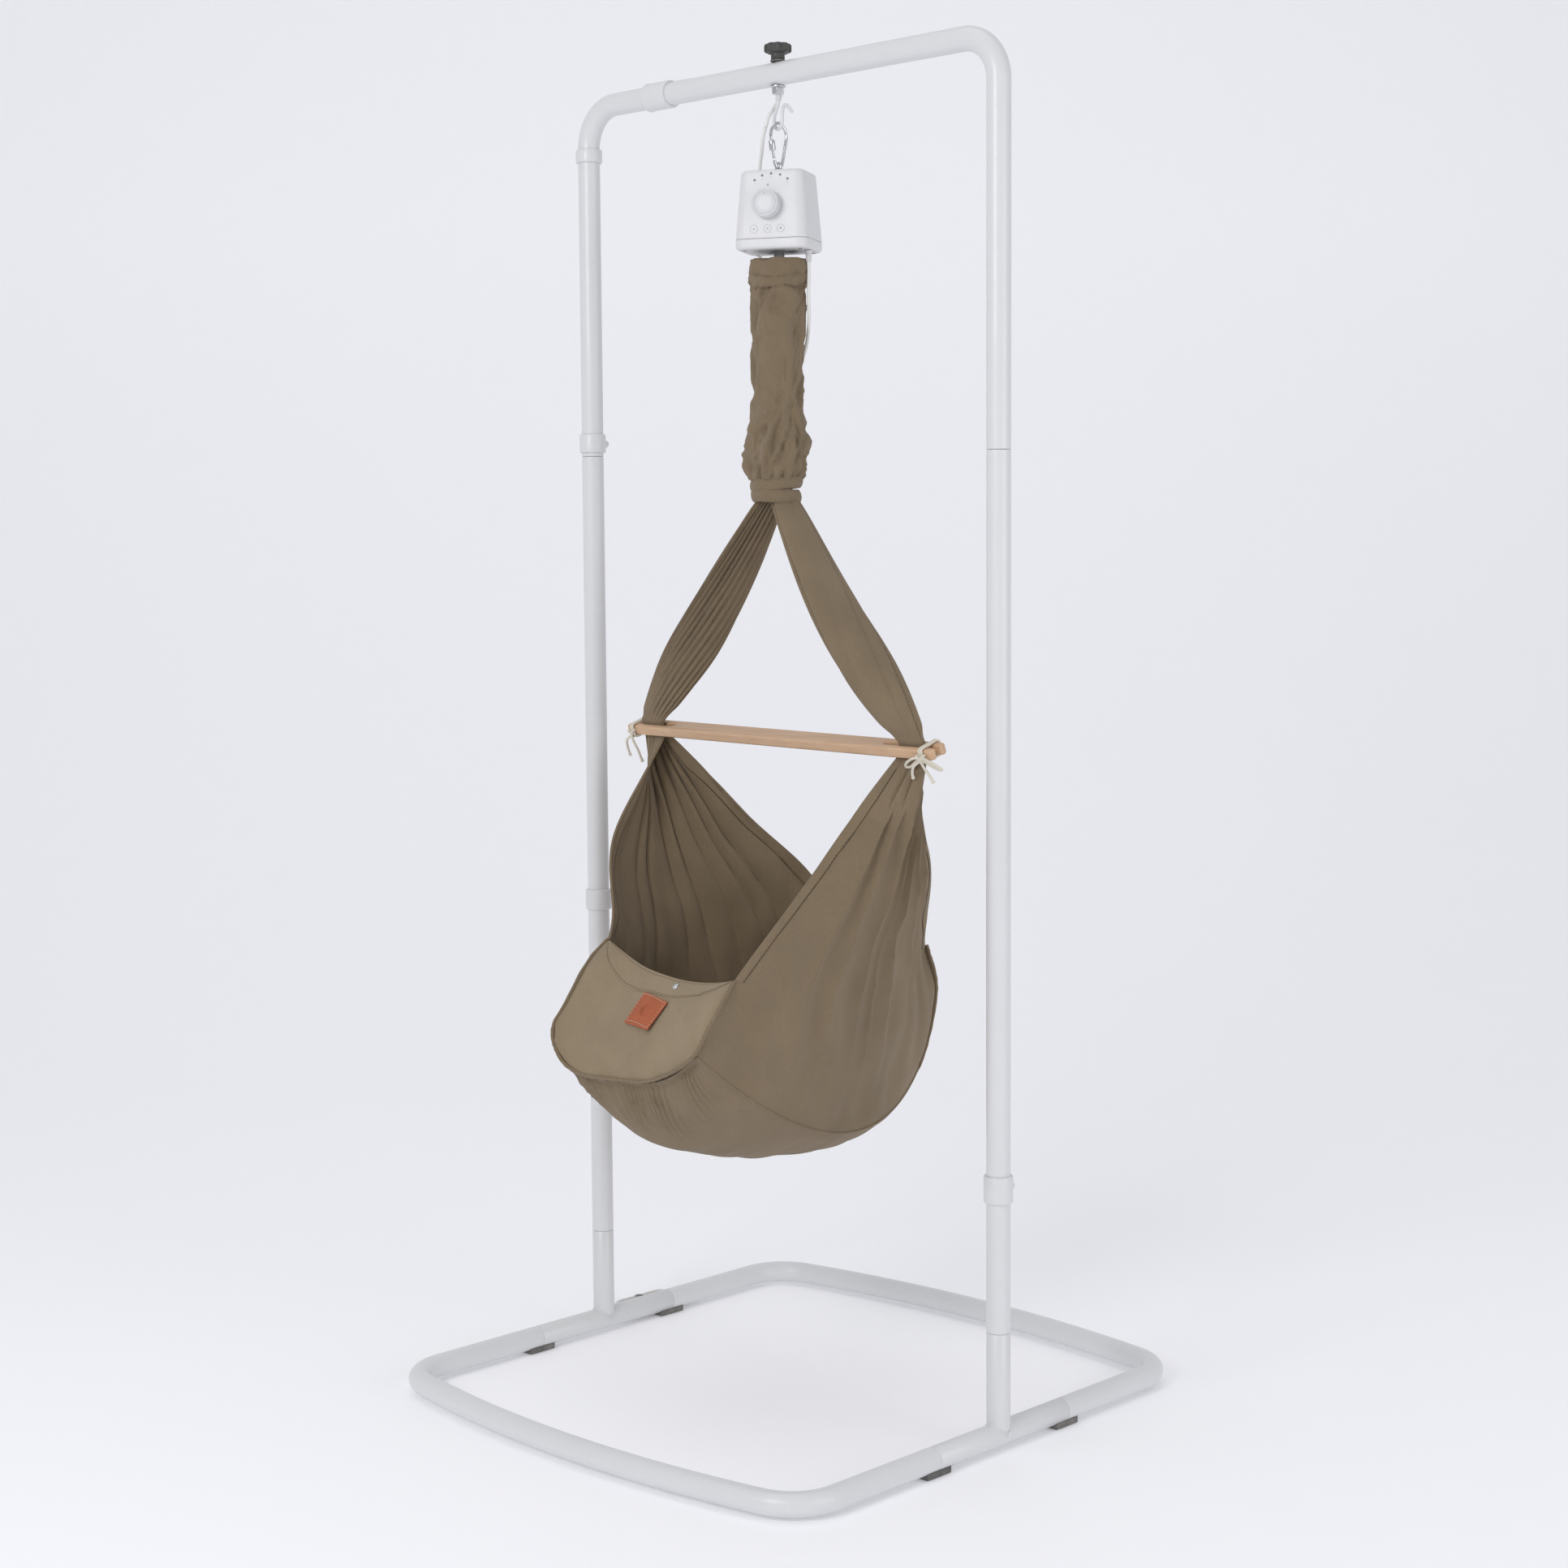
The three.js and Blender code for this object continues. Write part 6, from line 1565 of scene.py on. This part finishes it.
def makeLabel():
    wide, tall, corner = label["width"] / 2, label["height"] / 2, label["corner"]
    place = frontPlace(label["u"], label["v"], label["turn"], label["lift"])
    rings = [[at(0, 0, 0)] * 44] + [roundedRing(wide - i, tall - i, corner, z) for i, z in (
        (0.4, 0.0), (0.0, 0.3), (0.0, 1.3), (0.35, 1.8), (1.0, 2.0), (2.0, 2.0), (2.5, 1.75), (3.2, 1.75),
        (3.7, 2.0))] + [[at(0, 0, 2.05)] * 44]
    makePiece("leatherLabel", settled(placed(ringSkin(rings, capped=False), place)), "leather",
              "hammock", ["leather_label"], sharp=60)
    line = roundedRing(wide - 2.85, tall - 2.85, corner, 1.85, 8)
    dense = [mixed(line[k], line[(k + 1) % len(line)], j / 14) for k in range(len(line))
             for j in range(14)]
    rows = stitches(dense, [np.array((0, 0, 1.0))] * len(dense), 2.2, 3.3, 0.6)
    makePiece("labelStitches", settled(placed(rows, place)), "cottonCord", "hammock")
    # a plain pressed mark: two rings and a bar
    mark = joinShapes(flatRing(9.5, 8.7, 64, 0.35), flatRing(6.2, 5.6, 48, 0.35),
                      sweep([at(-6, 0, 0.15), at(6, 0, 0.15)], 0.35, 10))
    makePiece("labelMark", settled(placed(placed(mark, Matrix.Translation((0, 0, 1.85 * mm))), place)),
              "leather", "hammock")
    stud = lathe([(0, 0), (5, 0), (5.2, 0.5), (4.9, 1.2), (4.1, 1.9), (3.2, 2.4), (2.2, 2.3), (1.4, 2.5),
                  (0, 2.7)], 40)
    makePiece("pressStud", settled(placed(stud, frontPlace(0.6, 0.07, 0, 1.9))), "chrome", "hammock",
              ["press_stud"])


# ---- cord ties on the forked ends ----
tie = dict(cord=3.8, along=314.0, wraps=2, pitch=4.0)


def cordBody(line, radius, closed=False):
    twist = lambda t: radius * (1 + 0.05 * math.sin(t * 2 * math.pi * pathLength(line) / (2.6 * mm)))
    return sweep(line, twist, 12, closed=closed)


def makeTies():
    made = []
    for name, side in (("left", -1), ("right", 1)):
        radius = tie["cord"] / 2
        halfY, halfZ = bar["width"] / 2 + radius + 0.3, bar["height"] / 2 + radius + 0.3
        loops = []
        for wrap in range(tie["wraps"]):
            along = side * (tie["along"] - 2.8 + tie["pitch"] * wrap)
            ring = [onBar(along + 0.4 * math.sin(k), p[0] / mm, p[1] / mm)
                    for k, p in enumerate(roundedRing(halfY, halfZ, 4.6, 0, 6))]
            loops.append(cordBody(ring, radius, closed=True))
        knotAt = (-halfY - 1.6, -2.0)
        knot = [onBar(side * tie["along"] + 4.4 * math.sin(t) + 2.2 * math.sin(2 * t),
                      knotAt[0] - 2.6 * math.sin(3 * t),
                      knotAt[1] + 4.0 * math.cos(t) - 2.4 * math.cos(2 * t))
                      for t in np.linspace(0, 2 * math.pi, 61)[:-1]]
        loops.append(cordBody(knot, radius, closed=True))
        if side > 0:
            for way in (-1, 1):
                bow = smoothCurve([onBar(side * tie["along"] + way * x, knotAt[0] - out, knotAt[1] + z)
                                   for x, out, z in ((1, 2.5, 0), (9, 4, 1), (20, 4, -3), (30, 2, -9),
                        (34, 0, -14), (29, -1, -15), (18, 1, -10), (8, 2, -4))], True)
                loops.append(cordBody(sampled(bow, 60, True), radius, closed=True))
        node = name + "_fork_tie"
        makePiece(name + "ForkTie", joinShapes(*loops), "cottonCord", "hammock", [node],
                  sharp=80)
        ends = ((-14, 5, -22, -34), (9, 3, -25, -43)) if side < 0 else ((-20, 4, -20, -27),
                (17, 4, -24, -31))
        for number, (x, out, z1, z2) in enumerate(ends):
            start = onBar(side * tie["along"], knotAt[0] - 2, knotAt[1] - 3)
            line = sampled(smoothCurve([
                start, onBar(side * tie["along"] + x * 0.5, knotAt[0] - 3 - out, knotAt[1] - 9),
                onBar(side * tie["along"] + x * 0.9, knotAt[0] - 2 - out, knotAt[1] + z1),
                onBar(side * tie["along"] + x, knotAt[0] - 1 - out, knotAt[1] + z2)]), 40)
            loose = makePiece(f"{name}TieEnd{number + 1}", cordBody(line, radius), "cottonCord",
                              "hammock", sharp=80)
            tip = sweep([line[-2], line[-1] + (line[-1] - line[-2]) * 1.5], radius * 1.35, 12)
            tipPiece = makePiece(f"{name}TieTip{number + 1}", tip, "cottonCord", "hammock",
                                 sharp=80)
            made.append((loose, line, tipPiece))
    return made


makeSidePanels()
makeEndPanels()
makeBottom()
declareSheet(sleeveTube)
print("cradle cloth made")
pad = makeMattress()
makeLabel()
ties = makeTies()
print("mattress, label and ties made")


# ---- leads and plug ----
def makePlug():
    x, y, z = lead["plugPlace"]
    profile = [(0, 0), (2.9, 0)]
    for k in range(4):
        profile += [(3.1 + 0.3 * k, 1 + 2.3 * k), (3.6 + 0.3 * k, 1.5 + 2.3 * k),
                    (3.6 + 0.3 * k, 2.4 + 2.3 * k)]
    profile += [(4.6, 10.5), (5, 11.6), (5, 29.4), (4.6, 30.4), (3.9, 31), (2.75, 31.1)]
    body = lathe(profile + [(0, 31.1)], 40)
    barrel = lathe([(0, 31), (2.75, 31), (2.75, 40.4), (2.4, 41), (1.1, 41), (1.05, 34), (0, 34)], 32)
    place = Matrix.Translation(Vector(at(x, y, z))) @ Matrix.Rotation(-math.pi / 2, 4, "X")
    plug = makePiece("leadPlug", placed(body, place), "blackPlastic", "stand", ["lead_plug"])
    tip = makePiece("plugBarrel", placed(barrel, place), "chrome", "stand")
    middle = lead["hankStart"] + lead["hankLength"] / 2
    halfX, top = lead["hankWidth"] / 2 + 0.2, 21.0
    band = [at(lead["hankX"] + px, middle, pz) for px, pz in (
        [(-halfX, 3.6), (-halfX, top - 2.4)] + [(-halfX + 2.4, top), (halfX - 2.4, top)]
        + [(halfX, top - 2.4), (halfX, 3.4), (halfX - 2.3, 1.4), (-halfX + 2.3, 1.4)])]
    wrap = sweep(sampled(smoothCurve(band, True), 60, True), 3.4, 10, closed=True, flatten=0.16)
    tieBand = makePiece("hankTie", wrap, "blackPlastic", "stand", sharp=80)
    return plug, tip, tieBand


motorLead, motorLine, supplyLead, supplyLine = makeLeads()
plug, plugTip, hankTie = makePlug()
gx, gy = motor["gland"]
tuple(motorLine[0])
round(pathLength(motorLine), 3)
[tuple(p) for p in motorLine]
tuple(supplyLine[0])
round(pathLength(supplyLine), 3)
[tuple(p) for p in supplyLine]
for loose, line, tipPiece in ties:
    tuple(line[0])
    round(pathLength(line), 4)
    [tuple(p) for p in line]
print("lead lengths:", round(pathLength(motorLine), 3), round(pathLength(supplyLine), 3))


# ---- inner parts that stay as they are ----
for node, look in (("circuit_board", "board"), ("gearmotor", "greyMetal"), ("drive_drum", "blackPlastic"),
                   ("light_guides", "lightGuide")):
    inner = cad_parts[node]
    inner.data.materials.clear()
    inner.data.materials.append(finishes[look])


# ---- studio ----
studio = dict(floorFront=-6.0, floorBack=4.2, half=9.0, coveRadius=2.2, coveHeight=6.0, sink=0.0004,
              aim=(0, 0, 0.9), glow=0.15, glowColour=(0.93, 0.94, 0.98, 1), air=0.56,
              airColour=(0.93, 0.94, 0.97, 1))
# each light's place, size and power
lights = dict(keyLight=((0.7, -3.8, 2.5), 1.5, 52), fillLight=((4.2, 0.3, 1.5), 2.0, 30),
              topLight=((-0.4, -0.4, 4.8), 2.6, 18))


def makeStudio():
    back, r = studio["floorBack"], studio["coveRadius"]
    section = [(studio["floorFront"], 0.0), (back - r, 0.0)]
    section += [(back - r + r * math.sin(a), r - r * math.cos(a))
                for a in np.linspace(0.05, math.pi / 2, 24)]
    section += [(back, studio["coveHeight"])]
    yaw = math.radians(camera["yaw"])
    away = np.array((-math.sin(yaw), math.cos(yaw), 0))
    across = np.array((math.cos(yaw), math.sin(yaw), 0))
    points, faces = [], []
    for out, up in section:
        for side in (-1, 1):
            height = np.array((0, 0, up - studio["sink"]))
            points.append(away * out + across * side * studio["half"] + height)
    for k in range(len(section) - 1):
        faces.append((2 * k, 2 * k + 1, 2 * k + 3, 2 * k + 2))
    cove = makePiece("studioCove", (points, faces), "studioFloor", None, sharp=80)
    glow = finishes["studioFloor"].node_tree.nodes["Principled BSDF"]
    glow.inputs["Emission Color"].default_value = studio["glowColour"]
    glow.inputs["Emission Strength"].default_value = studio["glow"]
    for name, (place, size, power) in lights.items():
        data = bpy.data.lights.new(name, "AREA")
        data.size, data.energy = size, power
        obj = bpy.data.objects.new(name, data)
        obj.location = place
        obj.rotation_euler = (Vector(studio["aim"]) - Vector(place)).to_track_quat("-Z", "Y").to_euler()
        bpy.context.scene.collection.objects.link(obj)
    world = bpy.data.worlds.new("studioAir")
    world.use_nodes = True
    air = world.node_tree.nodes["Background"]
    air.inputs["Color"].default_value = studio["airColour"]
    air.inputs["Strength"].default_value = studio["air"]
    bpy.context.scene.world = world
    bpy.context.scene.view_settings.view_transform = "Standard"


makeStudio()
print("studio set, sizes written")
